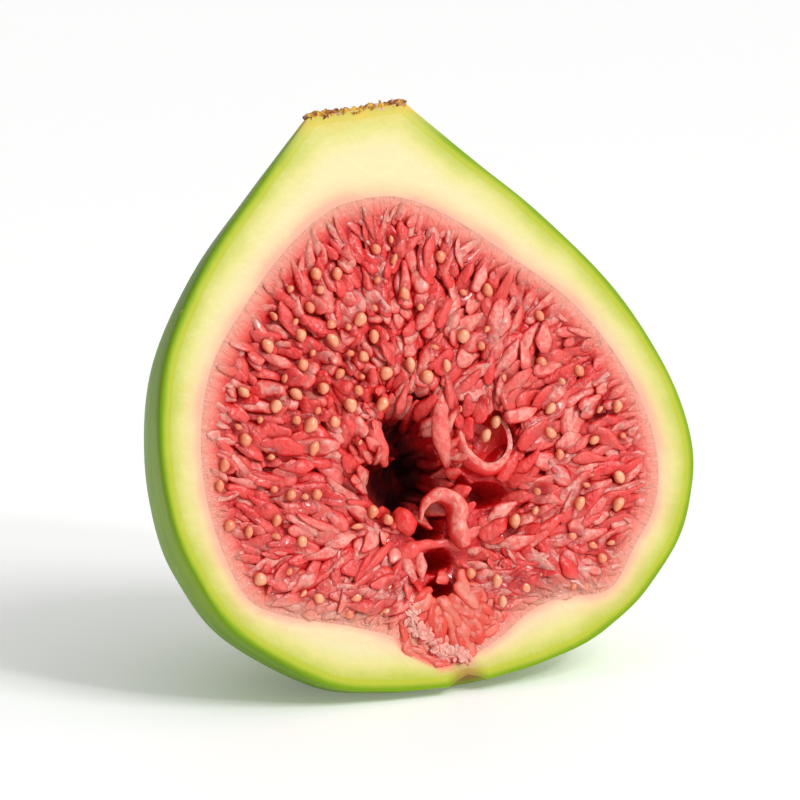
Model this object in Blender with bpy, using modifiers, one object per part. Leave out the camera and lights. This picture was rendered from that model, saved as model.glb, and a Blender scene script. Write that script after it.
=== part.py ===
"""A fresh green fig cut in half, from the stem scar to the eye.

The half stands on its base and leans back a little, with its cut face to the front (-Y).
Every layer is turned about the fruit's own axis, from the eye at height 0 to the stem scar,
given the same uneven growth, and cut by one knife. An empty then poses the whole half.
All sizes are in metres.
"""

import math
import random

import bmesh
import bpy
from mathutils import Matrix, Vector

MM = 0.001

# Driving dimensions of the fruit
FRUIT_RADIUS = 27.2 * MM
FRUIT_HEIGHT = 55.0 * MM
SKIN_THICKNESS = 1.1 * MM
BASE_THICKENING = 1.4 * MM
BASE_SHARE = 0.16
GAP = 0.3 * MM

# How the half stands
ROLL = math.radians(-4.0)
LEAN_BACK = math.radians(18.0)
SEAT_DEPTH = 1.4 * MM

# Uneven growth: the axis bows to one side, and the girth has a few soft lobes
AXIS_BOW = 0.9 * MM
LOBES = ((3, 0.010, 0.7), (5, 0.006, 2.1))

# Outlines from top to bottom, as (share of the radius, share of the height)
SKIN_OUTLINE = (
    (0.190, 1.000),
    (0.431, 0.884),
    (0.650, 0.775),
    (0.859, 0.633),
    (0.970, 0.487),
    (1.000, 0.360),
    (0.962, 0.264),
    (0.840, 0.156),
    (0.550, 0.047),
    (0.305, 0.012),
    (0.078, 0.000),
)
PULP_OUTLINE = (
    (0.000, 0.889),
    (0.145, 0.858),
    (0.344, 0.785),
    (0.523, 0.702),
    (0.687, 0.618),
    (0.794, 0.520),
    (0.851, 0.411),
    (0.847, 0.309),
    (0.782, 0.225),
    (0.630, 0.169),
    (0.420, 0.133),
    (0.263, 0.102),
    (0.137, 0.066),
    (0.061, 0.044),
    (0.038, 0.006),
)
PITH_EYE_RADIUS = 4.2 * MM
PITH_TOP_RADIUS = 3.4 * MM
PITH_TOP_DROP = 0.2 * MM
# The eye is looked for below this share of the height
EYE_PART = 0.3
# The stem scar as (share of its radius, height above its underside in millimetres)
SCAR_OUTLINE = (
    (0.00, 0.65),
    (0.55, 0.70),
    (0.78, 0.90),
    (0.93, 0.80),
    (0.98, 0.45),
    (0.88, 0.00),
    (0.00, 0.00),
)

# Fineness of the turned layers
TURN_STEPS = 48
CURVE_STEPS = 16
WALL_STEPS = 200
OUTER_ROWS = 22
INNER_ROWS = 20

# The pulp: a dished face, a hollow heart and a chain of small holes down to the eye
DISH_DEPTH = 1.3 * MM
DISH_SHARE = 0.95
HEART_LOW = Vector((0.5, 0.0, 10.5)) * MM
HEART_HIGH = Vector((-1.0, 0.0, 22.5)) * MM
# Shares of the height between which the florets' aim moves from the low place to the high one
HEART_REACH = (0.08, 0.88)
# Each hollow: centre (x, height), half width, half depth, half height, in millimetres
HOLLOWS = (
    (-1.0, 21.0, 4.2, 11.0, 5.0),
    (0.3, 15.6, 2.1, 6.0, 1.9),
    (0.9, 12.0, 1.6, 4.5, 1.3),
    (0.6, 9.2, 1.1, 3.0, 0.9),
)

# Florets stand on the wall and point at the heart. Each ring: share of the way from heart
# to wall, spacing, length, width, height, depth of the middle behind the cut, dip of the tip
FLORET_RINGS = (
    (0.88, 2.95, 4.8, 2.90, 1.9, 0.25, 0.0),
    (0.69, 3.05, 5.8, 3.30, 2.3, 0.30, 4.0),
    (0.50, 3.05, 6.0, 3.30, 2.4, 0.40, 8.0),
    (0.33, 3.10, 5.6, 3.10, 2.4, 0.90, 18.0),
    (0.21, 3.50, 5.0, 2.90, 2.4, 2.30, 30.0),
)
FLORET_TAPER = 0.6
FLORET_SIDES = 6
FLORET_ROWS = 3
FLORET_JITTER = 0.35 * MM
FLORET_SIZES = (0.88, 1.12)
FLORET_YAW = 11.0
FLORET_PITCH = 5.0
FLORETS_FROM = 0.085
WALL_CLEARANCE = 0.9 * MM
SEED_SHARE = 0.42
SEED_RADIUS = 0.80 * MM
SEED_RISE = 0.55 * MM
# A seed's place along its floret, as a share of the length from the middle
SEED_PLACES = (-0.2, 0.3)
SEED_HALVES = (1.0, 0.9, 1.1)
SEED_SIDES = 5
SEED_ROWS = 3

# Scales crowd the channel above the eye: lowest and highest place, and how far out they sit there
SCALE_COUNT = 12
SCALE_HEIGHTS = (4.1 * MM, 9.0 * MM)
SCALE_REACH = (0.7 * MM, 3.6 * MM)
SCALE_RADIUS = 0.75 * MM
SCALE_DEPTH = 0.1 * MM
SCALE_TURN = 2.4
SCALE_FLATNESS = (0.6, 0.9)
RANDOM_SEED = 11

# Plain colours: base colour, roughness
COLOURS = {
    "skin": ((0.34, 0.56, 0.06), 0.42),
    "pith": ((0.90, 0.87, 0.55), 0.55),
    "pulp": ((0.78, 0.17, 0.17), 0.30),
    "stem_scar": ((0.34, 0.17, 0.06), 0.85),
}

KNIFE_SIZE = 0.2


def clear_scene():
    for old in list(bpy.data.objects):
        bpy.data.objects.remove(old)


def material(name):
    colour, roughness = COLOURS[name]
    made = bpy.data.materials.new(name)
    made.use_nodes = True
    shader = made.node_tree.nodes["Principled BSDF"]
    shader.inputs["Base Color"].default_value = (*colour, 1.0)
    shader.inputs["Roughness"].default_value = roughness
    shader.inputs["Metallic"].default_value = 0.0
    made.diffuse_color = (*colour, 1.0)
    return made


def smooth_line(points, count):
    """A Catmull-Rom curve through the points, as count points at even distances along it."""
    ends = [points[0] * 2 - points[1], *points, points[-1] * 2 - points[-2]]
    fine = []
    for a, b, c, d in zip(ends, ends[1:], ends[2:], ends[3:]):
        for step in range(CURVE_STEPS):
            t = step / CURVE_STEPS
            fine.append(
                0.5
                * (
                    b * 2
                    + (c - a) * t
                    + (a * 2 - b * 5 + c * 4 - d) * t**2
                    + (b * 3 - a - c * 3 + d) * t**3
                )
            )
    fine.append(points[-1])
    lengths = [0.0]
    for a, b in zip(fine, fine[1:]):
        lengths.append(lengths[-1] + (b - a).length)
    spaced, k = [], 0
    for i in range(count):
        wanted = lengths[-1] * i / (count - 1)
        while k < len(fine) - 2 and lengths[k + 1] < wanted:
            k += 1
        share = (wanted - lengths[k]) / (lengths[k + 1] - lengths[k])
        spaced.append(fine[k].lerp(fine[k + 1], min(max(share, 0.0), 1.0)))
    return spaced


def outline(shares, count):
    """The outline in metres, as (radius, height) points from top to bottom."""
    sized = [Vector((r * FRUIT_RADIUS, h * FRUIT_HEIGHT)) for r, h in shares]
    return smooth_line(sized, count)


def inset(line, depth_at):
    """The line moved towards the fruit's inside by depth_at(point)."""
    moved = []
    for i, point in enumerate(line):
        ahead = line[min(i + 1, len(line) - 1)] - line[max(i - 1, 0)]
        inwards = Vector((ahead.y, -ahead.x)).normalized() if point.x > 0.0 else Vector((0.0, -1.0))
        moved.append(point + inwards * depth_at(point))
    return [p for p in moved if p.x >= 0.0]


def down_to_eye(line, radius):
    """The line from the top down to the place near the eye where it comes in to the radius."""
    kept = []
    for a, b in zip(line, line[1:]):
        kept.append(a)
        if a.y < EYE_PART * FRUIT_HEIGHT and b.x < radius <= a.x:
            return [*kept, a.lerp(b, (a.x - radius) / (a.x - b.x))]
    return [*kept, line[-1]]


def skin_depth(point):
    """The skin's thickness: a little more underneath, where the half is pressed flat."""
    low = max(0.0, 1.0 - point.y / (BASE_SHARE * FRUIT_HEIGHT))
    return SKIN_THICKNESS + BASE_THICKENING * low


def grown(point):
    """A turned point moved as the fruit grew: bowed along its axis and softly lobed."""
    share = min(max(point.z / FRUIT_HEIGHT, 0.0), 1.0)
    around = math.atan2(point.y, point.x)
    belly = math.sin(math.pi * share)
    swell = 1.0 + belly * sum(a * math.cos(n * around + p) for n, a, p in LOBES)
    bow = AXIS_BOW * math.sin(2.0 * math.pi * share)
    return Vector((point.x * swell + bow, point.y * swell, point.z))


def place(obj, collection, parent):
    collection.objects.link(obj)
    obj.parent = parent
    return obj


def baked(obj):
    """The object with its modifiers applied."""
    graph = bpy.context.evaluated_depsgraph_get()
    mesh = bpy.data.meshes.new_from_object(obj.evaluated_get(graph))
    obj.modifiers.clear()
    obj.data = mesh
    return obj


def turned(name, line, closed_loop, collection, parent):
    """A profile in the XZ plane turned about the fruit's axis, then grown."""
    mesh = bpy.data.meshes.new(name)
    edges = [(i, i + 1) for i in range(len(line) - 1)]
    if closed_loop:
        edges.append((len(line) - 1, 0))
    mesh.from_pydata([(p.x, 0.0, p.y) for p in line], edges, [])
    obj = place(bpy.data.objects.new(name, mesh), collection, parent)
    screw = obj.modifiers.new("turn", "SCREW")
    screw.axis = "Z"
    screw.angle = 2.0 * math.pi
    screw.steps = screw.render_steps = TURN_STEPS
    screw.use_merge_vertices = True
    screw.merge_threshold = 0.00001
    baked(obj)
    for vertex in obj.data.vertices:
        vertex.co = grown(vertex.co)
    return obj


def cut(obj, cutter, operation="DIFFERENCE"):
    tool = obj.modifiers.new(cutter.name, "BOOLEAN")
    tool.operation = operation
    tool.object = cutter
    return tool


def box(name, centre, collection, parent=None):
    """A large cube, used as a knife with one face on the cut."""
    mesh = bpy.data.meshes.new(name)
    form = bmesh.new()
    bmesh.ops.create_cube(form, size=KNIFE_SIZE, matrix=Matrix.Translation(centre))
    form.to_mesh(mesh)
    form.free()
    obj = place(bpy.data.objects.new(name, mesh), collection, parent)
    obj.hide_render = True
    obj.display_type = "WIRE"
    return obj


def ellipsoid(name, centre, halves, sides, rows, collection, parent):
    """A ball stretched to the three half sizes."""
    mesh = bpy.data.meshes.new(name)
    form = bmesh.new()
    stretch = Matrix.Diagonal((*halves, 1.0))
    bmesh.ops.create_uvsphere(
        form,
        u_segments=sides,
        v_segments=rows,
        radius=1.0,
        matrix=Matrix.Translation(centre) @ stretch,
    )
    form.to_mesh(mesh)
    form.free()
    return place(bpy.data.objects.new(name, mesh), collection, parent)


def make_skin(parts, fig):
    """The green skin: a thin cup, open at the scar above and at the eye below."""
    outside = outline(SKIN_OUTLINE, OUTER_ROWS)
    inside = inset(outline(SKIN_OUTLINE, INNER_ROWS), skin_depth)
    eye = Vector((outside[-1].x, inside[-1].y))
    return turned("skin", [*outside, eye, *reversed(inside[:-1])], True, parts, fig)


def make_pith(parts, fig):
    """The cream wall between the skin and the pulp, thick under the stem scar."""
    outside = inset(outline(SKIN_OUTLINE, INNER_ROWS), lambda p: skin_depth(p) + GAP)
    top = Vector((PITH_TOP_RADIUS, FRUIT_HEIGHT - PITH_TOP_DROP))
    outside = [Vector((0.0, top.y)), top, *outside[1:]]
    outside = down_to_eye(outside, PITH_EYE_RADIUS)
    inside = down_to_eye(outline(PULP_OUTLINE, INNER_ROWS), PITH_EYE_RADIUS)
    return turned("pith", [*outside, *reversed(inside)], False, parts, fig)


def make_stem_scar(parts, fig):
    """The dry brown cap where the stem came away: a thin disc with a raised, worn rim."""
    radius = SKIN_OUTLINE[0][0] * FRUIT_RADIUS
    low = FRUIT_HEIGHT + GAP
    line = [Vector((share * radius, low + height * MM)) for share, height in SCAR_OUTLINE]
    return turned("stem_scar", line, False, parts, fig)


def heart_near(wall):
    """The point of the heart's line that a floret on the wall points at."""
    low, high = HEART_REACH
    share = min(max((wall.z / FRUIT_HEIGHT - low) / (high - low), 0.0), 1.0)
    return HEART_LOW.lerp(HEART_HIGH, share)


def wall_points(count):
    """Points at even distances round the pulp's edge on the cut, from the top round both sides."""
    line = [p for p in outline(PULP_OUTLINE, WALL_STEPS) if p.y > FLORETS_FROM * FRUIT_HEIGHT]
    left = [Vector((-p.x, 0.0, p.y)) for p in line]
    right = [Vector((p.x, 0.0, p.y)) for p in line]
    return smooth_line([grown(p) for p in [*reversed(left), *right[1:]]], count)


def floret(name, middle, along, size, collection, parent):
    """A plump drop, pointed at its root and round at its tip, lying along a direction."""
    length, width, height = size
    mesh = bpy.data.meshes.new(name)
    form = bmesh.new()
    bmesh.ops.create_uvsphere(
        form, u_segments=FLORET_SIDES, v_segments=FLORET_ROWS, radius=0.5
    )
    for vertex in form.verts:
        thin = 1.0 - FLORET_TAPER * (0.5 - vertex.co.z)
        vertex.co = Vector(
            (vertex.co.x * width * thin, vertex.co.y * height * thin, vertex.co.z * length)
        )
    form.to_mesh(mesh)
    form.free()
    obj = place(bpy.data.objects.new(name, mesh), collection, parent)
    across = Vector((0.0, 1.0, 0.0)).cross(along).normalized()
    axes = Matrix((across, along.cross(across), along)).transposed()
    obj.matrix_local = Matrix.Translation(middle) @ axes.to_4x4()
    return obj


def add_florets(florets, fig, draw):
    """Rings of florets from the wall in to the heart, some with a seed proud of the cut."""
    edge_length = 0.0
    edge = wall_points(2 * WALL_STEPS)
    for a, b in zip(edge, edge[1:]):
        edge_length += (b - a).length
    for ring, (share, spacing, length, width, height, depth, dip) in enumerate(FLORET_RINGS):
        count = round(edge_length * share / (spacing * MM))
        roots = wall_points(2 * count + 1)
        for k in range(count):
            grow = draw.uniform(*FLORET_SIZES)
            size = (length * MM * grow, width * MM * grow, height * MM)
            wall = roots[2 * k + ring % 2]
            heart = heart_near(wall)
            inwards = (heart - wall).normalized()
            sideways = Vector((-inwards.z, 0.0, inwards.x))
            whole = (wall - heart).length
            away = share * whole + draw.uniform(-FLORET_JITTER, FLORET_JITTER)
            away = min(away, whole - size[0] / 2 - WALL_CLEARANCE)
            middle = heart - inwards * away
            middle += sideways * draw.uniform(-FLORET_JITTER, FLORET_JITTER)
            middle.y += depth * MM + draw.uniform(-FLORET_JITTER, FLORET_JITTER)
            pitch = math.radians(dip + draw.uniform(-FLORET_PITCH, FLORET_PITCH))
            yaw = math.radians(draw.uniform(-FLORET_YAW, FLORET_YAW))
            along = inwards * math.cos(yaw) + sideways * math.sin(yaw)
            along = along * math.cos(pitch) + Vector((0.0, math.sin(pitch), 0.0))
            floret(f"floret_{ring}_{k}", middle, along, size, florets, fig)
            if draw.random() < SEED_SHARE:
                spot = middle + along * draw.uniform(*SEED_PLACES) * size[0]
                spot.y -= SEED_RISE
                halves = [SEED_RADIUS * share for share in SEED_HALVES]
                ellipsoid(f"seed_{ring}_{k}", spot, halves, SEED_SIDES, SEED_ROWS, florets, fig)


def add_eye_scales(florets, fig, draw):
    """Small scales set in a spiral up the channel, from the eye towards the heart."""
    for k in range(SCALE_COUNT):
        share = k / (SCALE_COUNT - 1)
        height = SCALE_HEIGHTS[0] + share * (SCALE_HEIGHTS[1] - SCALE_HEIGHTS[0])
        reach = SCALE_REACH[0] + share * (SCALE_REACH[1] - SCALE_REACH[0])
        spot = grown(Vector((reach * math.sin(SCALE_TURN * k), 0.0, height)))
        spot.y = SCALE_DEPTH
        halves = (SCALE_RADIUS, SCALE_RADIUS, SCALE_RADIUS * draw.uniform(*SCALE_FLATNESS))
        ellipsoid(f"scale_{k}", spot, halves, SEED_SIDES, SEED_ROWS, florets, fig)


def one_body(obj):
    """Keeps the largest piece: a hollow that the union sealed is filled, a loose scrap goes."""
    form = bmesh.new()
    form.from_mesh(obj.data)
    unseen = set(form.verts)
    pieces = []
    while unseen:
        waiting = [unseen.pop()]
        piece = []
        while waiting:
            vertex = waiting.pop()
            piece.append(vertex)
            for edge in vertex.link_edges:
                other = edge.other_vert(vertex)
                if other in unseen:
                    unseen.remove(other)
                    waiting.append(other)
        pieces.append(piece)
    pieces.sort(key=len)
    for piece in pieces[:-1]:
        bmesh.ops.delete(form, geom=piece, context="VERTS")
    form.to_mesh(obj.data)
    form.free()


def make_pulp(parts, cutters, knife, fig):
    """The red pulp: a dished core with a hollow heart, and florets and seeds fused to it."""
    line = inset(outline(PULP_OUTLINE, INNER_ROWS), lambda p: GAP)
    line.append(Vector((0.0, line[-1].y)))
    pulp = turned("pulp", line, False, parts, fig)
    dish = turned("dish", line, False, cutters, fig)
    middle = Vector((0.0, 0.0, 0.45 * FRUIT_HEIGHT))
    flatten = Matrix.Diagonal((DISH_SHARE, DISH_DEPTH / FRUIT_RADIUS, DISH_SHARE, 1.0))
    dish.data.transform(Matrix.Translation(middle) @ flatten @ Matrix.Translation(-middle))
    cut(pulp, knife)
    cut(pulp, dish)
    for k, (x, z, *halves) in enumerate(HOLLOWS):
        sizes = [h * MM for h in halves]
        cut(pulp, ellipsoid(f"hollow_{k}", Vector((x, 0.0, z)) * MM, sizes, 12, 8, cutters, fig))
    bpy.context.view_layer.update()
    baked(pulp)
    florets = bpy.data.collections.new("florets")
    bpy.context.scene.collection.children.link(florets)
    draw = random.Random(RANDOM_SEED)
    add_florets(florets, fig, draw)
    add_eye_scales(florets, fig, draw)
    bpy.context.view_layer.update()
    union = pulp.modifiers.new("florets", "BOOLEAN")
    union.operation = "UNION"
    union.operand_type = "COLLECTION"
    union.collection = florets
    union.solver = "MANIFOLD"
    baked(pulp)
    one_body(pulp)
    for obj in list(florets.objects):
        bpy.data.objects.remove(obj)
    bpy.data.collections.remove(florets)
    return pulp


def stand(fig, skin):
    """Poses the half so that its lowest place lies just under the table, over the origin."""
    turn = Matrix.Rotation(-LEAN_BACK, 4, "X") @ Matrix.Rotation(ROLL, 4, "Y")
    behind = [turn @ v.co for v in skin.data.vertices if v.co.y > 0.0]
    lowest = min(behind, key=lambda p: p.z)
    shift = Matrix.Translation((-lowest.x, -lowest.y, -lowest.z - SEAT_DEPTH))
    fig.matrix_world = shift @ turn


def main():
    clear_scene()
    scene = bpy.context.scene
    parts = bpy.data.collections.new("half_fig")
    cutters = bpy.data.collections.new("cutters")
    scene.collection.children.link(parts)
    scene.collection.children.link(cutters)
    fig = place(bpy.data.objects.new("fig", None), parts, None)

    knife = box("knife", Vector((0.0, -KNIFE_SIZE / 2, 0.0)), cutters, fig)
    table = box("table", Vector((0.0, 0.0, -KNIFE_SIZE / 2)), cutters)
    skin = make_skin(parts, fig)
    pith = make_pith(parts, fig)
    scar = make_stem_scar(parts, fig)
    for layer in (skin, pith, scar):
        cut(layer, knife)
    pulp = make_pulp(parts, cutters, knife, fig)
    stand(fig, skin)
    cut(skin, table)

    for obj in (skin, pith, pulp, scar):
        obj.data.materials.clear()
        obj.data.materials.append(material(obj.name))
        obj.data.shade_smooth()
    for cutter in cutters.objects:
        cutter.hide_render = True
        cutter.display_type = "WIRE"


main()
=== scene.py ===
"""Half a fresh fig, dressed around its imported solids.

The half is modelled upright in its own frame first: the eye at height 0, the stem scar
above it, and the cut face in the plane y = 0 with the fruit behind it. Each finished mesh
is then moved to where the solids stand. Lengths are in metres.
"""

import math

import bpy
import numpy as np
from mathutils import Matrix, Vector, noise
from mathutils.kdtree import KDTree


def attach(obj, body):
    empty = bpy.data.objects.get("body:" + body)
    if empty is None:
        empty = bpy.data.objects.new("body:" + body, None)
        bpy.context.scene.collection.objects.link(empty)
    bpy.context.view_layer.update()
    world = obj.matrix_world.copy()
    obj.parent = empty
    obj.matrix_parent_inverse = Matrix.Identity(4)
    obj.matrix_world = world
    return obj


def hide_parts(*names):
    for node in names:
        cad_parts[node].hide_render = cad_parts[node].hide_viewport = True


bl_info = {
    "name": "Fresh Fig Half",
    "version": (1, 0, 0),
    "blender": (4, 5, 0),
    "location": "View3D > Sidebar > Fig",
    "description": "Models half a fresh fig: skin, wall, florets, seeds and stem scar",
    "category": "Add Mesh",
}

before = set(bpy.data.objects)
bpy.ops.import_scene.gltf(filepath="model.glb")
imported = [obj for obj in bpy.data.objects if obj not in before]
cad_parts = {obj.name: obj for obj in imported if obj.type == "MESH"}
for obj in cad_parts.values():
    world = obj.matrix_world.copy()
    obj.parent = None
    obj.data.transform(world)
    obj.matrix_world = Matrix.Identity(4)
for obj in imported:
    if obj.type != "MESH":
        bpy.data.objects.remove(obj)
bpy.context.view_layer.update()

MM = 0.001

# The outlines from top to bottom, as (share of the radius, share of the height)
SKIN_OUTLINE = (
    (0.190, 1.000),
    (0.431, 0.884),
    (0.650, 0.775),
    (0.859, 0.633),
    (0.970, 0.487),
    (1.000, 0.360),
    (0.962, 0.264),
    (0.840, 0.156),
    (0.550, 0.047),
    (0.305, 0.012),
    (0.078, 0.000),
)
PULP_OUTLINE = (
    (0.000, 0.850),
    (0.110, 0.844),
    (0.225, 0.820),
    (0.365, 0.772),
    (0.523, 0.702),
    (0.687, 0.618),
    (0.794, 0.520),
    (0.851, 0.411),
    (0.847, 0.309),
    (0.782, 0.225),
    (0.630, 0.169),
    (0.420, 0.133),
    (0.263, 0.102),
    (0.137, 0.066),
    (0.000, 0.040),
)
LOBES = ((3, 0.010, 0.7), (5, 0.006, 2.1))
# Where the pulp reaches lower than the turned form: middle (x, height), reach to its left
# and right, reach in height, and the way down, in millimetres
BULGES = (
    (16.5, 8.5, 5.5, 3.2, 3.0, 2.4),
    (-20.5, 12.5, 3.2, 4.5, 3.5, 0.9),
)
BULGE_REACH = 8.0 * MM
ROWS = 150
SPIN_STEPS = 72
WALL_ROWS = 17
BED_ROWS = 85
# Points closer than this merge, and points closer to the cut plane than this lie on it
MERGE = 0.000001
ON_PLANE = 1e-7
# Points between two of a ring's, where distances from it are measured
PARTS = 6

# The heart: florets on the wall point at the line between these two places
HEART_LOW = Vector((0.5, 0.0, 10.5)) * MM
HEART_HIGH = Vector((-1.0, 0.0, 22.5)) * MM
# Between these shares of the height the florets' roots share out that line
HEART_SHARES = (0.08, 0.88)

# Hollows in the pulp: middle (x, height), half width, half height, depth, in millimetres
HOLLOWS = (
    (-1.6, 20.0, 5.4, 4.3, 10.0),
    (-1.1, 24.2, 3.4, 4.2, 8.0),
    (-0.8, 15.2, 1.9, 1.6, 6.0),
    (-0.5, 11.8, 2.1, 1.30, 4.5),
    (-0.7, 9.3, 1.50, 1.00, 3.6),
    (5.5, 17.2, 2.8, 1.40, 4.4),
    (6.9, 22.6, 3.0, 3.3, 3.2),
)

# How ragged the hollows' edges are, as a share of their half sizes. Small ones are less so
RAGGED = 0.45

# Rings of florets: share of the way from heart to wall, spacing, length, width, height,
# depth of the middle behind the cut, dip of the tip in degrees
FLORET_RINGS = (
    (0.955, 0.95, 2.4, 1.00, 0.36, 0.24, -1.0),
    (0.900, 1.10, 3.2, 1.20, 0.46, 0.20, 0.0),
    (0.840, 1.25, 3.8, 1.42, 0.54, 0.16, 0.0),
    (0.775, 1.35, 4.4, 1.62, 0.60, 0.14, 1.0),
    (0.710, 1.42, 4.8, 1.75, 0.66, 0.12, 2.0),
    (0.645, 1.45, 5.0, 1.85, 0.70, 0.10, 2.0),
    (0.580, 1.45, 5.0, 1.90, 0.72, 0.10, 3.0),
    (0.515, 1.45, 5.0, 1.90, 0.76, 0.12, 4.0),
    (0.450, 1.45, 4.8, 1.85, 0.80, 0.16, 7.0),
    (0.385, 1.45, 4.4, 1.80, 0.82, 0.28, 11.0),
    (0.320, 1.45, 3.9, 1.70, 0.85, 0.50, 16.0),
    (0.255, 1.40, 3.3, 1.60, 0.85, 0.70, 20.0),
    (0.190, 1.30, 2.9, 1.50, 0.85, 0.90, 22.0),
    (0.130, 1.20, 2.5, 1.40, 0.85, 1.05, 24.0),
)
# A lower layer that shows in the gaps
LOWER_RINGS = (
    (0.860, 1.30, 3.6, 1.35, 0.70, 0.42, 0.0),
    (0.760, 1.35, 4.2, 1.60, 0.75, 0.44, 0.0),
    (0.660, 1.45, 4.6, 1.70, 0.80, 0.46, 2.0),
    (0.560, 1.50, 4.6, 1.75, 0.85, 0.50, 3.0),
    (0.460, 1.50, 4.6, 1.75, 0.90, 0.60, 6.0),
    (0.360, 1.50, 4.2, 1.70, 1.00, 0.90, 18.0),
)
# Seeds that stand out: (x, height) in millimetres
BRIGHT_SEEDS = (
    (-10.5, 32.2), (-11.7, 29.6), (-8.9, 29.7), (-8.4, 26.4), (-10.9, 26.5), (-14.0, 28.8), (-16.9, 30.6),
    (-4.2, 32.0), (-2.8, 33.7), (-2.3, 30.1), (0.3, 30.5), (1.8, 29.1), (-3.3, 27.3), (-6.5, 27.7),
    (4.0, 29.8), (6.3, 32.3), (-3.8, 35.5), (-7.0, 34.0), (-13.6, 34.5), (-10.1, 35.0), (-7.4, 40.4),
    (13.8, 24.1), (13.4, 21.8), (20.8, 23.2), (19.6, 16.5), (14.9, 14.7), (18.9, 14.0), (7.9, 14.2),
    (4.8, 8.9), (7.6, 7.8), (5.0, 6.9), (-14.0, 15.9), (-13.4, 10.4), (-18.9, 13.2),
)
# Seeds that the flesh half covers
DULL_SEEDS = (
    (-5.2, 40.1), (5.6, 40.1), (14.6, 33.0), (13.9, 28.6), (13.9, 19.6), (2.4, 10.1), (13.6, 11.8),
    (-19.1, 17.7), (-20.9, 18.6), (-20.2, 24.2), (-21.1, 22.4), (-14.2, 20.4), (-11.6, 20.0), (-16.1, 18.3),
    (-4.9, 16.5), (-11.0, 24.3), (-6.9, 30.8), (1.2, 37.2), (-5.4, 28.9), (16.2, 9.2), (-6.3, 17.5),
    (9.8, 36.2), (-0.8, 41.8), (17.6, 27.2), (9.6, 27.8), (-17.6, 26.2), (-8.6, 37.4), (10.9, 16.6),
)
# Seeds inside the opened sac: (x, depth, height)
SAC_SEEDS = ((6.9, 0.55, 22.7), (8.3, 0.75, 23.8))
# Small ones are scattered: share, spacing, length, width, height, depth, dip
SEED_RINGS = tuple((0.34 + 0.085 * k, 3.4, 1.0, 0.9, 0.8, -0.30, 0.0) for k in range(7))
# Where seeds and blunt tips crowd: middle (x, height), half width, half height, strength
CROWDS = (
    (-9.0, 31.0, 8.0, 6.0, 1.0),
    (-1.0, 34.0, 8.0, 7.0, 0.8),
    (-15.0, 24.0, 5.0, 9.0, 0.5),
    (15.0, 25.0, 5.0, 7.0, 0.35),
)
# Folds beside the hollow, in millimetres: name, path of (x, depth, height), width at each
# place, depth of the section as a share of its width, tone
FOLDS = (
    (
        "fig_lip",
        (
            (-1.3, 0.7, 16.0), (-1.1, 0.4, 16.8), (-0.4, 0.2, 17.6), (0.7, 0.0, 17.9), (1.9, 0.0, 17.3),
            (2.3, 0.0, 16.2), (2.1, 0.0, 15.1), (2.1, 0.1, 14.0), (2.6, 0.4, 13.0),
        ),
        (0.40, 0.62, 0.90, 1.45, 2.05, 2.15, 1.95, 2.05, 1.30),
        1.3,
        1.0,
    ),
    (
        "fig_bead",
        ((-2.6, 0.9, 14.9), (-2.9, 0.5, 15.7), (-3.2, 0.5, 16.5), (-3.5, 1.0, 17.2)),
        (1.1, 2.1, 2.1, 1.1),
        0.8,
        0.1,
    ),
    (
        "fig_tongue_right",
        (
            (3.8, 0.7, 28.0), (3.1, 0.4, 26.6), (2.5, 0.4, 24.9), (2.4, 0.7, 23.2), (2.9, 1.2, 21.4),
            (3.3, 1.9, 19.9), (3.4, 2.8, 18.6),
        ),
        (0.9, 1.6, 1.9, 1.9, 1.6, 1.1, 0.6),
        0.62,
        0.55,
    ),
    (
        "fig_tongue_left",
        ((-4.5, 0.8, 26.2), (-4.2, 0.8, 24.6), (-3.7, 1.2, 23.0), (-3.2, 2.0, 21.6)),
        (1.0, 1.8, 1.6, 0.7),
        0.62,
        0.45,
    ),
    (
        "fig_bridge",
        (
            (-4.8, 1.7, 12.4), (-3.2, 0.9, 13.2), (-1.7, 0.85, 13.5), (-0.3, 0.9, 13.5), (1.1, 0.9, 13.3),
            (2.6, 1.5, 12.6),
        ),
        (2.0, 1.7, 1.1, 0.85, 1.2, 1.6),
        0.62,
        0.30,
    ),
)
# The opened sac: middle (x, depth, height), half sizes, and its tilts in degrees
SAC = ((6.8, 1.30, 22.5), (3.0, 1.9, 3.4), (-20.0, 22.0))
SAC_RIM = 0.42
# The lobe above the eye: its outline as (height, left, right) in millimetres
LOBE_SIDES = (
    (1.8, -2.6, -1.6), (2.7, -4.0, 0.6), (4.0, -5.9, 3.4), (5.5, -6.3, 5.2), (7.0, -6.0, 5.6),
    (8.4, -5.3, 4.6), (9.8, -4.6, 3.4),
)
# The place that the lobe's scales point at
LOBE_TOP = (-0.6, 10.5)
# The pale scales' line down the lobe's left side and along its bottom: (x, height)
SCALE_PATH = (
    (-4.9, 9.3), (-4.5, 7.9), (-4.6, 6.5), (-3.8, 5.2), (-2.8, 4.1), (-1.9, 3.3), (-0.6, 2.8), (0.6, 2.8),
)
# The hollow heart: middle (x, height), half sizes, and the place that its florets point at
HOLLOW_MIDDLE = (-1.8, 21.4)
HOLLOW_HALVES = (4.2, 5.0)
HOLLOW_AIM = (-1.5, 20.6)
# Rings of florets in it: reach as a share of its half sizes, depth, dip in degrees, how
# many, length
HOLLOW_RINGS = (
    (1.16, 1.3, 38.0, 19, 3.2),
    (1.08, 2.6, 55.0, 17, 3.6),
    (0.98, 4.4, 62.0, 15, 4.2),
    (0.85, 6.6, 66.0, 12, 4.2),
)
# How the two kinds of listed seeds sit: places, least and most bare, depth, size
SEED_KINDS = ((BRIGHT_SEEDS, 0.6, 1.0, -0.04, 1.38), (DULL_SEEDS, 0.15, 0.45, 0.06, 1.25))
SEEDS_APART = 1.15 * MM
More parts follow.
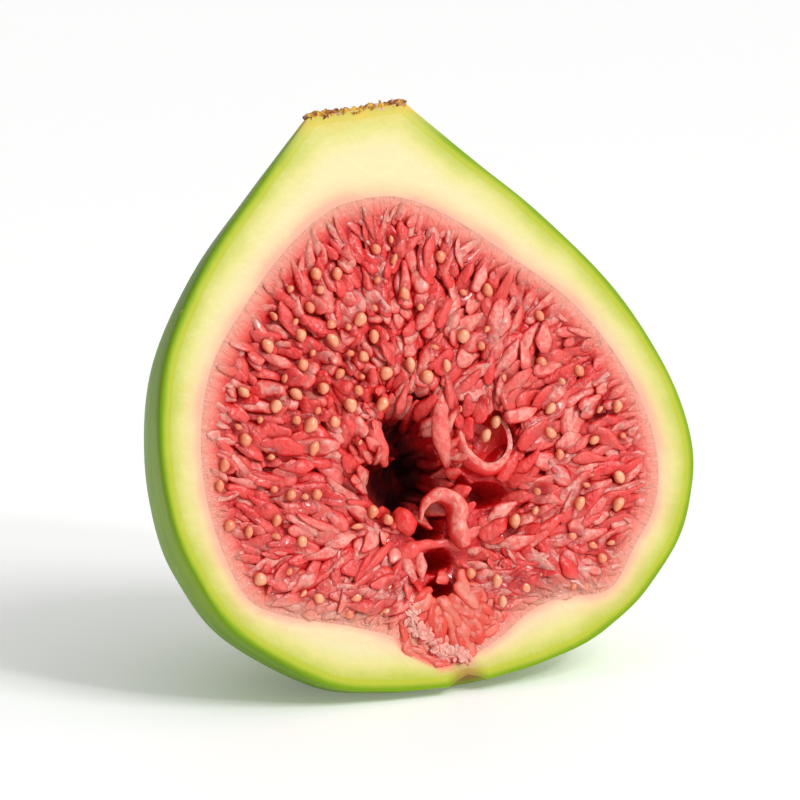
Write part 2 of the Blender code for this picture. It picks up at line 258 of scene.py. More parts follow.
# How many scales lie in the lobe and along that line, and how many crumbs on the scar
LOBE_COUNT = 70
SCALE_COUNT = 130
CRUMB_COUNT = 150
# The stem scar's outline: share of its radius, height in millimetres
SCAR_OUTLINE = ((0.0, 0.20), (0.5, 0.25), (0.80, 0.38), (0.96, 0.32), (1.0, 0.15), (0.95, 0.0), (0.0, 0.0))
# How far the pulp's edge lies behind the cut, and how far back the solids feel it
EDGE_SINK = 0.09 * MM
SINK_REACH = 5.0 * MM
# The florets lie in waves: this many a metre, turned by up to this angle
WAVE_SCALE = 190.0
WAVE_TURN = math.radians(65.0)
# The skin's rows on the cut as shares of its thickness, and the small round at its rim
SKIN_ROWS = (0.0, 0.06, 0.13, 0.22, 0.32, 0.45, 1.0)
RIM_ROUND = 0.16 * MM
RIM_WIDTH = 0.27 * MM
# The camera: what it looks at, its angles in degrees, its distance and its focal length
TARGET = Vector((0.0015, -0.001, 0.0262))
AZIMUTH, ELEVATION = -24.6, 12.3
DISTANCE = 0.60
FOCAL_LENGTH = 285.0
# What the materials read from the meshes
CUT_READS = ("from_skin", "from_pulp", "from_scar", "from_eye", "lobe")
FLESH_READS = ("tone", "along", "crest", "halo", "from_wall", "depth")


def metres(name, text, value):
    return bpy.props.FloatProperty(name=name, description=text, default=value, unit="LENGTH")


def degrees(name, text, value):
    turned = math.radians(value)
    return bpy.props.FloatProperty(name=name, description=text, default=turned, unit="ROTATION")


def colour(name, text, value):
    return bpy.props.FloatVectorProperty(
        name=name, description=text, size=3, min=0.0, max=1.0, subtype="COLOR", default=value
    )


class FigSizes(bpy.types.PropertyGroup):
    radius: metres("Radius", "Greatest radius of the fruit", 0.0272)
    height: metres("Height", "From the eye to the stem scar", 0.055)
    axis_bow: metres("Axis bow", "How far the axis bows aside", 0.0009)
    skin_thickness: metres("Skin", "Thickness of the green skin", 0.0011)
    dish: metres("Dish", "Depth of the pulp behind the cut", 0.0008)
    seat: metres("Seat", "Lowest level of the fruit", 0.0)
    roll: degrees("Roll", "Lean of the stem to one side", -4.0)
    lean: degrees("Lean", "How far the cut face leans back", 18.0)
    place: bpy.props.FloatVectorProperty(
        name="Place", description="Where the eye is", size=3, subtype="TRANSLATION",
        default=(0.0033399, -0.0125611, 0.0010629),
    )


class FigColours(bpy.types.PropertyGroup):
    skin: colour("Skin", "Green of the skin", (0.190, 0.345, 0.005))
    skin_dark: colour("Skin, dark", "Deeper green in the streaks", (0.070, 0.185, 0.003))
    skin_light: colour("Skin, light", "Pale green of specks and ribs", (0.42, 0.56, 0.050))
    rim: colour("Rim", "Yellow green just inside the skin", (0.46, 0.51, 0.035))
    inner: colour("Rim, inner", "Light yellow between rim and wall", (0.70, 0.64, 0.19))
    wall: colour("Wall", "Cream of the wall", (0.775, 0.68, 0.35))
    blush: colour("Blush", "Pink where the wall meets the pulp", (0.84, 0.36, 0.26))
    flesh: colour("Flesh", "Coral red of the florets", (0.80, 0.024, 0.022))
    # Flesh, pale: the florets' own pale pink in random patches, and the colour of the painted highlight
    # where they face out of the cut
    flesh_pale_and_highlight: colour("Flesh, pale", "Pale pink of the florets' backs", (0.92, 0.33, 0.27))
    # Painted shade: deep red on the florets' sides that face away from the cut, round the seeds and in the
    # recesses
    flesh_shaded: colour("Flesh, deep", "Deep red between the florets", (0.50, 0.004, 0.006))
    # Painted shade: near-black maroon for the deep parts of the hollows
    hollow: colour("Hollow Shade", "Dark maroon inside the hollow", (0.045, 0.0018, 0.004))
    seed: colour("Seed", "Golden seeds", (0.90, 0.35, 0.18))
    # Seed, dark: random darker patches, and painted shade on the sides of the seeds that face away from the
    # cut
    seed_dark_and_shade: colour("Seed, dark", "Orange edges of the seeds", (0.72, 0.12, 0.05))
    seed_covered: colour("Seed, covered", "Seeds under the flesh", (0.86, 0.24, 0.12))
    seed_bare: colour("Seed, bare", "Seeds that stand out", (0.95, 0.48, 0.28))
    lobe: colour("Lobe", "Orange red of the lobe above the eye", (0.76, 0.060, 0.036))
    # Lobe, pale: the colour of the painted highlight where the lobe's scales face out of the cut
    lobe_pale_highlight: colour("Lobe, pale", "Pale backs of the lobe's scales", (0.90, 0.34, 0.24))
    scales: colour("Scales", "Pinkish white of the eye's scales", (0.90, 0.46, 0.40))
    scar: colour("Scar", "Brown of the stem scar", (0.30, 0.095, 0.018))
    stain: colour("Stain", "Golden stain under the scar", (0.85, 0.50, 0.06))
    crumb_orange: colour("Crumb, orange", "Orange crumbs of the scar", (0.86, 0.36, 0.06))
    crumb_dark: colour("Crumb, dark", "Dark crumbs of the scar", (0.22, 0.035, 0.012))
    crumb_pale: colour("Crumb, pale", "Pale crumbs of the scar", (0.90, 0.56, 0.42))
    scar_dark: colour("Scar, dark", "Dark grain of the scar", (0.20, 0.05, 0.015))
    scar_pale: colour("Scar, pale", "Pale flecks of the scar", (0.85, 0.60, 0.42))
    eye: colour("Eye", "Brown of the wall at the eye", (0.42, 0.16, 0.05))
    eye_skin: colour("Eye, skin", "Brown of the skin at the eye", (0.30, 0.12, 0.03))


def sizes():
    return bpy.context.scene.fig_sizes


def colours():
    return bpy.context.scene.fig_colours


# Lines and forms in the fruit's own frame


def on_face(x, z):
    """A place on the cut face."""
    return Vector((x, 0.0, z))


def smooth_line(points, count=16):
    """A Catmull-Rom curve through the points."""
    ends = [points[0] * 2 - points[1], *points, points[-1] * 2 - points[-2]]
    fine = []
    for a, b, c, d in zip(ends, ends[1:], ends[2:], ends[3:]):
        for step in range(count):
            t = step / count
            fine.append(
                0.5
                * (
                    b * 2
                    + (c - a) * t
                    + (a * 2 - b * 5 + c * 4 - d) * t**2
                    + (b * 3 - a - c * 3 + d) * t**3
                )
            )
    return [*fine, points[-1]]


def even(line, count):
    """The line as count points at even distances along it."""
    lengths = [0.0]
    for a, b in zip(line, line[1:]):
        lengths.append(lengths[-1] + (b - a).length)
    spaced, k = [], 0
    for i in range(count):
        wanted = lengths[-1] * i / (count - 1)
        while k < len(line) - 2 and lengths[k + 1] < wanted:
            k += 1
        share = (wanted - lengths[k]) / max(lengths[k + 1] - lengths[k], 1e-12)
        spaced.append(line[k].lerp(line[k + 1], min(max(share, 0.0), 1.0)))
    return spaced


def outline(shares):
    s = sizes()
    return smooth_line([Vector((r * s.radius, h * s.height)) for r, h in shares])


def inset(line, depth):
    """The line moved towards the fruit's inside by a depth."""
    moved = []
    for i, point in enumerate(line):
        ahead = line[min(i + 1, len(line) - 1)] - line[max(i - 1, 0)]
        moved.append(point + Vector((ahead.y, -ahead.x)).normalized() * depth)
    return moved


def skin_line():
    """The skin's outside, from the middle of the stem scar down to the middle of the eye."""
    side = outline(SKIN_OUTLINE)
    top = [Vector((0.0, side[0].y + 0.2 * MM)), Vector((0.85 * side[0].x, side[0].y + 0.2 * MM))]
    eye = [Vector((0.45 * side[-1].x, 0.5 * MM)), Vector((0.0, 0.8 * MM))]
    return even([*top, *side, *eye], ROWS)


def wall_line():
    """Where the skin ends and the wall starts."""
    depth = sizes().skin_thickness
    side = [p for p in inset(outline(SKIN_OUTLINE), depth) if p.x > 1.5 * MM]
    top = [Vector((0.0, side[0].y)), Vector((0.7 * side[0].x, side[0].y))]
    return even([*top, *side, Vector((0.0, 1.4 * MM))], ROWS)


def pulp_line():
    return even(outline(PULP_OUTLINE), ROWS)


def grown(point):
    """A turned point moved as the fruit grew: bowed along its axis and softly lobed."""
    s = sizes()
    share = min(max(point.z / s.height, 0.0), 1.0)
    around = math.atan2(point.y, point.x)
    belly = math.sin(math.pi * share)
    swell = 1.0 + belly * sum(a * math.cos(n * around + p) for n, a, p in LOBES)
    bow = s.axis_bow * math.sin(2.0 * math.pi * share)
    moved = Vector((point.x * swell + bow, point.y * swell, point.z))
    near = 1.0 - smoothstep(0.0, BULGE_REACH, moved.y)
    for mx, mz, left, right, half_z, down in BULGES:
        away = (moved.x / MM - mx) / (left if moved.x < mx * MM else right)
        up = (moved.z / MM - mz) / half_z
        moved.z -= down * MM * near * math.exp(-(away**2) - up**2)
    return moved


def ring_of(line):
    """The line on both sides of the cut, grown, as one closed ring of points."""
    right = [grown(on_face(p.x, p.y)) for p in line]
    left = [grown(on_face(-p.x, p.y)) for p in line]
    return [*right, *reversed(left[1:-1])]


def tree_from(points):
    tree = KDTree(len(points))
    for i, point in enumerate(points):
        tree.insert(point, i)
    tree.balance()
    return tree


def tree_of(ring, parts=PARTS):
    """A tree of close points along a closed ring, to measure distances from it."""
    points = []
    for a, b in zip(ring, [*ring[1:], ring[0]]):
        points += [a.lerp(b, k / parts) for k in range(parts)]
    return tree_from(points)


def pulp_tree():
    return tree_of(ring_of(pulp_line()))


def heart_near(wall):
    """The place in the heart that a floret rooted at this place of the wall points at."""
    s = sizes()
    low, high = (share * s.height for share in HEART_SHARES)
    return HEART_LOW.lerp(HEART_HIGH, min(max((wall.z - low) / (high - low), 0.0), 1.0))


def smoothstep(low, high, value):
    t = min(max((value - low) / (high - low), 0.0), 1.0)
    return t * t * (3.0 - 2.0 * t)


def hollow_way(x, z, middle_x, middle_z, half_x, half_z):
    """The way from a hollow's middle as a share of its half sizes, with a ragged edge."""
    ragged = noise.noise(on_face(x, z) * 420.0) * RAGGED * min(half_z / 4.0, 1.0)
    return math.hypot((x / MM - middle_x) / half_x, (z / MM - middle_z) / half_z) + ragged


def bed_depth(x, z, from_wall):
    """How far behind the cut the bed of the pulp lies."""
    depth = EDGE_SINK + sizes().dish * smoothstep(0.6 * MM, 5.0 * MM, from_wall)
    for *hollow, deep in HOLLOWS:
        away = hollow_way(x, z, *hollow)
        depth = max(depth, deep * MM * (1.0 - smoothstep(0.45, 1.12, away)))
    return depth


# Modelling helpers


def deselect():
    if bpy.context.object and bpy.context.object.mode != "OBJECT":
        bpy.ops.object.mode_set(mode="OBJECT")
    bpy.ops.object.select_all(action="DESELECT")


def edit(obj):
    """Opens an object alone in edit mode, with nothing selected in it."""
    deselect()
    obj.select_set(True)
    bpy.context.view_layer.objects.active = obj
    bpy.ops.object.mode_set(mode="EDIT")
    bpy.ops.mesh.select_all(action="DESELECT")


def built(name, points, edges, faces):
    """A new object with a mesh of its own."""
    mesh = bpy.data.meshes.new(name)
    mesh.from_pydata([tuple(p) for p in points], edges, faces)
    obj = bpy.data.objects.new(name, mesh)
    bpy.context.scene.collection.objects.link(obj)
    return obj


def joined(name, parts):
    deselect()
    for part in parts:
        part.select_set(True)
    bpy.context.view_layer.objects.active = parts[0]
    bpy.ops.object.join()
    parts[0].name = name
    parts[0].data.name = name
    return parts[0]


def spun(name, line):
    """An outline spun half a turn behind the cut."""
    obj = built(name, [on_face(p.x, p.y) for p in line], [(i, i + 1) for i in range(len(line) - 1)], [])
    edit(obj)
    bpy.ops.mesh.select_all(action="SELECT")
    bpy.ops.mesh.spin(steps=SPIN_STEPS, angle=math.pi, center=(0, 0, 0), axis=(0, 0, 1))
    bpy.ops.mesh.select_all(action="SELECT")
    bpy.ops.mesh.remove_doubles(threshold=MERGE)
    bpy.ops.object.mode_set(mode="OBJECT")
    if max(v.co.y for v in obj.data.vertices) < 0.001:
        for vertex in obj.data.vertices:
            vertex.co.y = -vertex.co.y
    return obj


def rows_of_faces(rows, count):
    """The faces between rows of count points, each row a closed ring."""
    return [
        (k * count + i, k * count + (i + 1) % count, (k + 1) * count + (i + 1) % count, (k + 1) * count + i)
        for k in range(rows)
        for i in range(count)
    ]


def mirrored(line):
    """The line on both sides of the cut, not yet grown."""
    right = [on_face(p.x, p.y) for p in line]
    return [*right, *[on_face(-p.x, p.z) for p in reversed(right[1:-1])]]


def face_between(name, outer, inner, shares):
    """The flat face between two lines of the cut that have the same count of points.

    Its rows lie at these shares of the way from the outer line to the inner one."""
    sides = [mirrored(outer), mirrored(inner)]
    count, rows = len(sides[0]), len(shares) - 1
    points = [a.lerp(b, share) for share in shares for a, b in zip(*sides)]
    return built(name, points, [], rows_of_faces(rows, count))


def closed(obj):
    """Merges what meets and turns all faces outwards."""
    edit(obj)
    bpy.ops.mesh.select_all(action="SELECT")
    bpy.ops.mesh.remove_doubles(threshold=MERGE)
    bpy.ops.mesh.select_all(action="SELECT")
    bpy.ops.mesh.normals_make_consistent(inside=False)
    bpy.ops.object.mode_set(mode="OBJECT")
    return obj


def capped(obj, poke=False):
    """Closes the open edge of a piece with a face and turns all faces outwards."""
    edit(obj)
    bpy.ops.mesh.select_mode(type="EDGE")
    bpy.ops.mesh.select_non_manifold()
    bpy.ops.mesh.edge_face_add()
    if poke:
        bpy.ops.mesh.poke()
    bpy.ops.mesh.select_all(action="SELECT")
    bpy.ops.mesh.normals_make_consistent(inside=False)
    bpy.ops.object.mode_set(mode="OBJECT")
    return obj


def modified(obj, kind, **values):
    """Gives the active piece a modifier with these values and applies it."""
    made = obj.modifiers.new(kind, kind)
    for name, value in values.items():
        setattr(made, name, value)
    bpy.ops.object.modifier_apply(modifier=made.name)


def keep(obj, **values):
    """Stores numbers for the points of the mesh, which the materials read. One stands for all."""
    for name, given in values.items():
        made = obj.data.attributes.new(name, "FLOAT", "POINT")
        made.data.foreach_set("value", np.full(len(obj.data.vertices), given, np.float32))


def check_closed(obj):
    """Raises an error if the piece has no faces or an edge that isn't between two faces."""
    mesh = obj.data
    edges = np.empty(len(mesh.loops), np.int32)
    mesh.loops.foreach_get("edge_index", edges)
    if not len(edges) or np.any(np.bincount(edges, minlength=len(mesh.edges)) != 2):
        raise RuntimeError(obj.name + " isn't a closed mesh")


def settle(obj, material, node, angle=40.0):
    check_closed(obj)
    s = sizes()
    turn = Matrix.Rotation(-s.lean, 4, "X") @ Matrix.Rotation(s.roll, 4, "Y")
    deselect()
    obj.select_set(True)
    bpy.context.view_layer.objects.active = obj
    obj.matrix_world = Matrix.Translation(s.place) @ turn
    bpy.ops.object.transform_apply(location=True, rotation=True, scale=True)
    bpy.ops.object.shade_smooth_by_angle(angle=math.radians(angle))
    for vertex in obj.data.vertices:
        vertex.co.z = max(vertex.co.z, s.seat)
    obj.data.materials.clear()
    obj.data.materials.append(material)
    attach(obj, "root")
    for name in node:
        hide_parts(name)


# Shader helpers


class Net:
    """A node tree that is wired with few words."""

    def __init__(self, tree):
        self.tree = tree
        tree.nodes.clear()

    def fill(self, node, **values):
        """Sets or links the sockets that are named, with _ for a space."""
        for key, value in values.items():
            self.put(node.inputs[key.replace("_", " ")], value)
        return node

    def node(self, kind, **values):
        return self.fill(self.tree.nodes.new("ShaderNode" + kind), **values)

    def put(self, socket, value):
        if isinstance(value, bpy.types.NodeSocket):
            self.tree.links.new(value, socket)
        elif hasattr(value, "__len__") and len(value) == 3 and socket.type == "RGBA":
            socket.default_value = (*value, 1.0)
        else:
            socket.default_value = value

    def math(self, operation, a, b, clamp=False):
        made = self.node("Math")
        made.operation = operation
        made.use_clamp = clamp
        self.put(made.inputs[0], a)
        self.put(made.inputs[1], b)
        return made.outputs[0]

    def times(self, a, b, clamp=False):
        return self.math("MULTIPLY", a, b, clamp)

    def plus(self, a, b):
        return self.math("ADD", a, b)

    def ramp(self, value, low, high, start=0.0, end=1.0):
        """A smooth step from low to high, as a value from start to end."""
        made = self.node("MapRange")
        made.interpolation_type = "SMOOTHSTEP"
        for i, given in enumerate((value, low, high, start, end)):
            self.put(made.inputs[i], given)
        return made.outputs[0]

    def mix(self, factor, a, b):
        made = self.node("Mix")
        made.data_type = "RGBA"
        self.put(made.inputs[0], factor)
        self.put(made.inputs[6], a)
        self.put(made.inputs[7], b)
        return made.outputs[2]

    def read(self, name):
        """A number that the mesh holds for each of its points."""
        made = self.node("Attribute")
        made.attribute_name = name
        return made.outputs["Fac"]

    def group(self, tree, reads=(), **values):
        """A node group. What it reads comes from the mesh, under the inputs' own names."""
        made = self.node("Group")
        made.node_tree = tree
        for name in reads:
            values[name.title()] = self.read(name)
        return self.fill(made, **values)


def new_group(name, numbers, tints, outputs):
    """A shader node group with a vector, numbers and colours as its inputs."""
    tree = bpy.data.node_groups.new(name, "ShaderNodeTree")
    net = Net(tree)
    tree.interface.new_socket("Vector", in_out="INPUT", socket_type="NodeSocketVector")
    for label, value in numbers.items():
        made = tree.interface.new_socket(label, in_out="INPUT", socket_type="NodeSocketFloat")
        made.default_value = value
    for label, value in tints.items():
        made = tree.interface.new_socket(label, in_out="INPUT", socket_type="NodeSocketColor")
        made.default_value = (*value, 1.0)
    for label in outputs:
        kind = "NodeSocketColor" if label == "Color" else "NodeSocketFloat"
        tree.interface.new_socket(label, in_out="OUTPUT", socket_type=kind)
    start = tree.nodes.new("NodeGroupInput")
    end = tree.nodes.new("NodeGroupOutput")
    return net, start.outputs, end.inputs


def mottle_group():
    """Soft uneven patches, from 0 to 1."""
    found = bpy.data.node_groups.get("Mottle")
    if found:
        return found
    numbers = {"Scale": 200.0, "Detail": 3.0, "Low": 0.35, "High": 0.65}
    net, given, out = new_group("Mottle", numbers, {}, ("Value",))
    cloud = net.node("TexNoise", **{name: given[name] for name in ("Vector", "Scale", "Detail")})
    net.put(out["Value"], net.ramp(cloud.outputs["Fac"], given["Low"], given["High"]))
    return net.tree


def mottle(net, vector, scale, detail, low, high):
    values = {"Vector": vector, "Scale": scale, "Detail": detail, "Low": low, "High": high}
    return net.group(mottle_group(), **values).outputs[0]


def flesh_group():
    """The colour of the pulp: pale pink as painted highlight where the florets face out of the cut, deep red
    as painted shade on their sides, round the seeds and deeper in, and near-black painted shade in the
    hollows.
    """
    found = bpy.data.node_groups.get("Flesh and painted light")
    if found:
        return found
    c = colours()
    net, given, out = new_group(
        "Flesh and painted light",
        {"Tone": 0.5, "Along": 0.5, "Crest": 0.5, "Halo": 0.0, "From Wall": 0.01, "Depth": 0.0},
        {"Pale": c.flesh_pale_and_highlight, "Flesh": c.flesh, "Shaded": c.flesh_shaded, "Hollow Shade": c.hollow, "Blush": c.blush},
        ("Color", "Height", "Sheen"),
    )
    fine = mottle(net, given["Vector"], 1500.0, 4.0, 0.34, 0.66)
    broad = mottle(net, given["Vector"], 300.0, 2.0, 0.36, 0.64)
    root = net.ramp(given["Along"], 0.0, 0.30, 0.25, 1.0)
    tip = net.ramp(given["Along"], 0.84, 1.0, 1.0, 0.3)
    # Painted highlight: pale pink where a floret faces out of the cut, more on florets of higher tone, less
    # at root and tip
    pale = net.times(net.ramp(given["Crest"], 0.40, 0.88), net.ramp(given["Tone"], 0.30, 0.75, 0.06, 0.95))
    pale = net.times(pale, net.times(root, tip))
    pale = net.times(pale, net.ramp(fine, 0.0, 1.0, 0.40, 1.0), clamp=True)
    base = net.mix(net.times(broad, 0.16), given["Flesh"], given["Pale"])
    # Painted shade: deep red where a floret faces away from the cut, and on the bed further from the wall
    base = net.mix(net.ramp(given["Crest"], -0.10, 0.52, 1.0, 0.0), base, given["Shaded"])
    base = net.mix(pale, base, given["Pale"])
    # Painted shade: deep red round each seed, where it sits in its pocket
    base = net.mix(net.times(given["Halo"], 0.9), base, given["Shaded"])
    near = net.ramp(given["From Wall"], -0.3 * MM, 2.6 * MM, 0.92, 0.0)
    base = net.mix(near, base, given["Blush"])
    # Painted shade: deep red further behind the cut, then dark maroon deep in the hollows
    base = net.mix(net.ramp(given["Depth"], 1.6 * MM, 4.0 * MM), base, given["Shaded"])
    base = net.mix(net.ramp(given["Depth"], 3.0 * MM, 7.0 * MM), base, given["Hollow Shade"])
    net.put(out["Color"], base)
    net.put(out["Height"], fine)
    net.put(out["Sheen"], net.ramp(given["Depth"], 2.0 * MM, 6.0 * MM, 0.22, 0.75))
    return net.tree


def wall_group():
    """The colour of the cut wall, from the green skin in to the pink edge of the pulp."""
    found = bpy.data.node_groups.get("Cut wall")
    if found:
        return found
    c = colours()
    tints = {name.title(): getattr(c, name) for name in ("skin", "rim", "inner", "wall", "blush", "stain")}
    numbers = {"From Skin": 0.002, "From Pulp": 0.002, "From Scar": 0.02, "From Eye": 0.02, "Lobe": 0.0}
    net, given, out = new_group("Cut wall", numbers, tints, ("Color",))
    patch = mottle(net, given["Vector"], 190.0, 4.0, 0.28, 0.72)
    wave = net.times(net.math("SUBTRACT", patch, 0.5), 0.7 * MM)
    skin_way = net.plus(given["From Skin"], wave)
    green = net.ramp(net.plus(given["From Skin"], net.times(wave, 0.25)), 0.15 * MM, 0.75 * MM)
    base = net.mix(green, given["Skin"], given["Rim"])
    base = net.mix(net.ramp(skin_way, 0.7 * MM, 2.6 * MM), base, given["Inner"])
    base = net.mix(net.ramp(skin_way, 1.8 * MM, 4.2 * MM), base, given["Wall"])
    pulp_way = net.plus(given["From Pulp"], wave)
    base = net.mix(net.ramp(pulp_way, 0.5 * MM, 2.4 * MM, 0.30, 0.0), base, given["Blush"])
    base = net.mix(net.ramp(pulp_way, -0.1 * MM, 1.1 * MM, 0.85, 0.0), base, given["Blush"])
    base = net.mix(net.ramp(given["From Scar"], 0.5 * MM, 5.0 * MM, 0.55, 0.0), base, given["Inner"])
    scar_way = net.plus(given["From Scar"], net.times(wave, 2.5))
    stain = net.ramp(scar_way, 0.1 * MM, 1.6 * MM, 0.85, 0.0)
    stain = net.times(stain, net.ramp(patch, 0.15, 0.75, 0.30, 1.0))
    base = net.mix(stain, base, given["Stain"])
    eye = net.ramp(net.plus(given["From Eye"], wave), 0.5 * MM, 2.6 * MM, 0.6, 0.0)
    base = net.mix(eye, base, c.eye)
    lobe = net.mix(net.times(patch, 0.5), c.lobe, c.blush)
    base = net.mix(net.ramp(given["Lobe"], 0.0, 1.0), base, lobe)
    net.put(out["Color"], base)
    return net.tree


def new_material(name):
    made = bpy.data.materials.new(name)
    made.use_nodes = True
    net = Net(made.node_tree)
    shader = net.node("BsdfPrincipled")
    end = net.node("OutputMaterial")
    net.put(end.inputs["Surface"], shader.outputs[0])
    return made, net, shader


def object_vector(net):
    return net.node("TexCoord").outputs["Object"]


def bump(net, shader, height, distance, strength=1.0):
    made = net.node("Bump", Height=height, Distance=distance, Strength=strength)
    net.put(shader.inputs["Normal"], made.outputs[0])


def soft(net, shader, weight, radius, scale):
    """How far light spreads under the surface, by colour."""
    net.fill(shader, Subsurface_Weight=weight, Subsurface_Radius=radius, Subsurface_Scale=scale)


def skin_material():
    made, net, shader = new_material("green skin")
    c = colours()
    vector = object_vector(net)
    height = net.read("height")
    way = net.node("CombineXYZ", X=net.times(net.read("around"), 9.0), Y=net.times(height, 2.6))
    streak = mottle(net, way.outputs[0], 1.0, 4.0, 0.38, 0.66)
    patch = mottle(net, vector, 70.0, 3.0, 0.34, 0.68)
    base = net.mix(net.times(streak, 0.40), c.skin, c.skin_dark)
    base = net.mix(net.times(patch, 0.30), base, c.skin_light)
    cell = net.node("TexVoronoi", Vector=vector, Scale=330.0, Randomness=1.0)
    rare = net.ramp(cell.outputs["Color"], 0.40, 0.60)
    dot = net.times(net.ramp(cell.outputs["Distance"], 0.03, 0.15, 1.0, 0.0), rare)
    base = net.mix(net.times(dot, 0.75), base, c.skin_light)
    base = net.mix(net.ramp(height, 0.72, 1.0, 0.0, 0.45), base, c.skin_light)
    base = net.mix(net.ramp(net.read("from_scar"), 0.2 * MM, 1.6 * MM, 0.8, 0.0), base, c.stain)
    base = net.mix(net.ramp(net.read("from_eye"), 0.6 * MM, 2.6 * MM, 0.85, 0.0), base, c.eye_skin)
    cut = net.group(wall_group(), CUT_READS, Vector=vector)
    on_cut = net.ramp(net.read("on_cut"), 0.2, 0.8)
    base = net.mix(on_cut, base, cut.outputs[0])
    net.fill(shader, Base_Color=base, Roughness=0.45, Specular_IOR_Level=0.15)
    pores = net.node("TexNoise", Vector=vector, Scale=900.0, Detail=3.0)
    relief = net.plus(net.times(streak, 0.25), net.times(dot, 0.4))
    relief = net.times(relief, net.math("SUBTRACT", 1.0, on_cut))
    relief = net.plus(relief, net.times(pores.outputs["Fac"], 0.35))
    bump(net, shader, relief, 0.00016, 0.8)
    return made


def wall_material():
    made, net, shader = new_material("cream wall")
    vector = object_vector(net)
    cut = net.group(wall_group(), CUT_READS, Vector=vector)
    net.fill(shader, Base_Color=cut.outputs[0], Roughness=0.42)
    grain = net.node("TexNoise", Vector=vector, Scale=1100.0, Detail=4.0)
    bump(net, shader, grain.outputs["Fac"], 0.00010, 0.6)
    return made


def flesh_material(name):
    found = bpy.data.materials.get(name)
    if found:
        return found
    made, net, shader = new_material(name)
    vector = object_vector(net)
    flesh = net.group(flesh_group(), FLESH_READS, Vector=vector)
    base = flesh.outputs["Color"]
    height = flesh.outputs["Height"]
    if name == "pulp bed":
        from_wall = net.read("from_wall")
        way = net.node("CombineXYZ", X=net.times(net.read("flow"), 1900.0), Y=net.times(from_wall, 260.0))
        streak = mottle(net, way.outputs[0], 1.0, 3.0, 0.36, 0.64)
        lines = net.times(net.times(streak, net.ramp(from_wall, 0.2 * MM, 2.2 * MM)), 0.50)
        base = net.mix(lines, base, colours().flesh)
        height = net.plus(height, streak)
    coat = net.ramp(net.read("depth"), 1.5 * MM, 4.5 * MM, 0.16, 0.0)
    net.fill(shader, Base_Color=base, Roughness=flesh.outputs["Sheen"], Specular_IOR_Level=0.36)
    net.fill(shader, Coat_Weight=coat, Coat_Roughness=0.08)
    soft(net, shader, 0.35, (1.0, 0.18, 0.14), 0.0011)
    bump(net, shader, height, 0.00012, 0.7)
    return made


def lobe_material(name, tint):
    """The flesh round the eye: its own tint, with painted highlight where its scales face out of the cut and
    painted shade where they face away.
    """
    made, net, shader = new_material(name)
    vector = object_vector(net)
    c = colours()
    patch = mottle(net, vector, 500.0, 3.0, 0.36, 0.64)
    crest = net.read("crest")
    # Painted highlight: pale where a scale faces out of the cut, more on scales of higher tone
    light = net.times(net.ramp(net.read("tone"), -0.1, 1.0), net.ramp(crest, 0.45, 0.95))
    base = net.mix(net.times(light, 0.55), tint, c.lobe_pale_highlight)
    base = net.mix(net.times(patch, 0.25), base, c.flesh)
    # Painted shade: deep red where a scale faces away from the cut
    base = net.mix(net.ramp(crest, -0.2, 0.60, 1.0, 0.0), base, c.flesh_shaded)
    net.fill(shader, Base_Color=base, Roughness=0.34, Specular_IOR_Level=0.36)
    soft(net, shader, 0.2, (1.0, 0.3, 0.2), 0.0007)
    bump(net, shader, patch, 0.00010, 0.6)
    return made


def seed_material():
    made, net, shader = new_material("golden seed")
    c = colours()
    vector = object_vector(net)
    patch = mottle(net, vector, 900.0, 3.0, 0.35, 0.7)
    bare = net.read("tone")
    base = net.mix(net.ramp(bare, 0.0, 0.75), c.seed_covered, c.seed)
    base = net.mix(net.ramp(bare, 0.7, 1.0, 0.0, 0.6), base, c.seed_bare)
    base = net.mix(net.times(patch, 0.20), base, c.seed_dark_and_shade)
    # Painted shade: darker orange on the sides of a seed that face away from the cut
    base = net.mix(net.ramp(net.read("crest"), 0.30, 0.95, 0.95, 0.0), base, c.seed_dark_and_shade)
    net.fill(shader, Base_Color=base, Roughness=0.22, Coat_Weight=0.5)
    soft(net, shader, 0.15, (1.0, 0.5, 0.2), 0.0005)
    bump(net, shader, patch, 0.00005, 0.5)
    return made


def scar_material():
    made, net, shader = new_material("dry scar")
    c = colours()
    vector = object_vector(net)
    patch = mottle(net, vector, 420.0, 5.0, 0.38, 0.62)
    fine = mottle(net, vector, 1500.0, 4.0, 0.42, 0.62)
    base = net.mix(patch, c.scar, c.stain)
    tone = net.read("tone")
    base = net.mix(net.ramp(tone, 0.30, 0.42, 0.0, 0.9), base, c.crumb_orange)
    base = net.mix(net.ramp(tone, 0.55, 0.62, 0.0, 0.85), base, c.crumb_dark)
    base = net.mix(net.ramp(tone, 0.74, 0.80, 0.0, 0.9), base, c.crumb_pale)
    base = net.mix(net.times(fine, 0.22), base, c.scar_dark)
    crumb = net.node("TexVoronoi", Vector=vector, Scale=700.0)
    middle = net.ramp(crumb.outputs["Distance"], 0.08, 0.25, 1.0, 0.0)
    pale = net.times(middle, net.ramp(crumb.outputs["Color"], 0.6, 0.75))
    base = net.mix(net.times(pale, 0.7), base, c.scar_pale)
    net.fill(shader, Base_Color=base, Roughness=0.75)
    bump(net, shader, net.plus(fine, patch), 0.00022, 0.9)
    return made


# Pieces


def lobe_sides(z):
    """The left and the right side of the lobe at a height."""
    heights = [row[0] * MM for row in LOBE_SIDES]
    left = np.interp(z, heights, [row[1] * MM for row in LOBE_SIDES])
    right = np.interp(z, heights, [row[2] * MM for row in LOBE_SIDES])
    return float(left), float(right)


def in_lobe(x, z):
    """1 inside the lobe above the eye, falling to 0 a little outside it."""
    left, right = lobe_sides(z)
    low, high = LOBE_SIDES[0][0] * MM, LOBE_SIDES[-1][0] * MM
    outside = max(left - x, x - right, low - z, z - high)
    return 1.0 - smoothstep(-0.5 * MM, 0.9 * MM, outside)


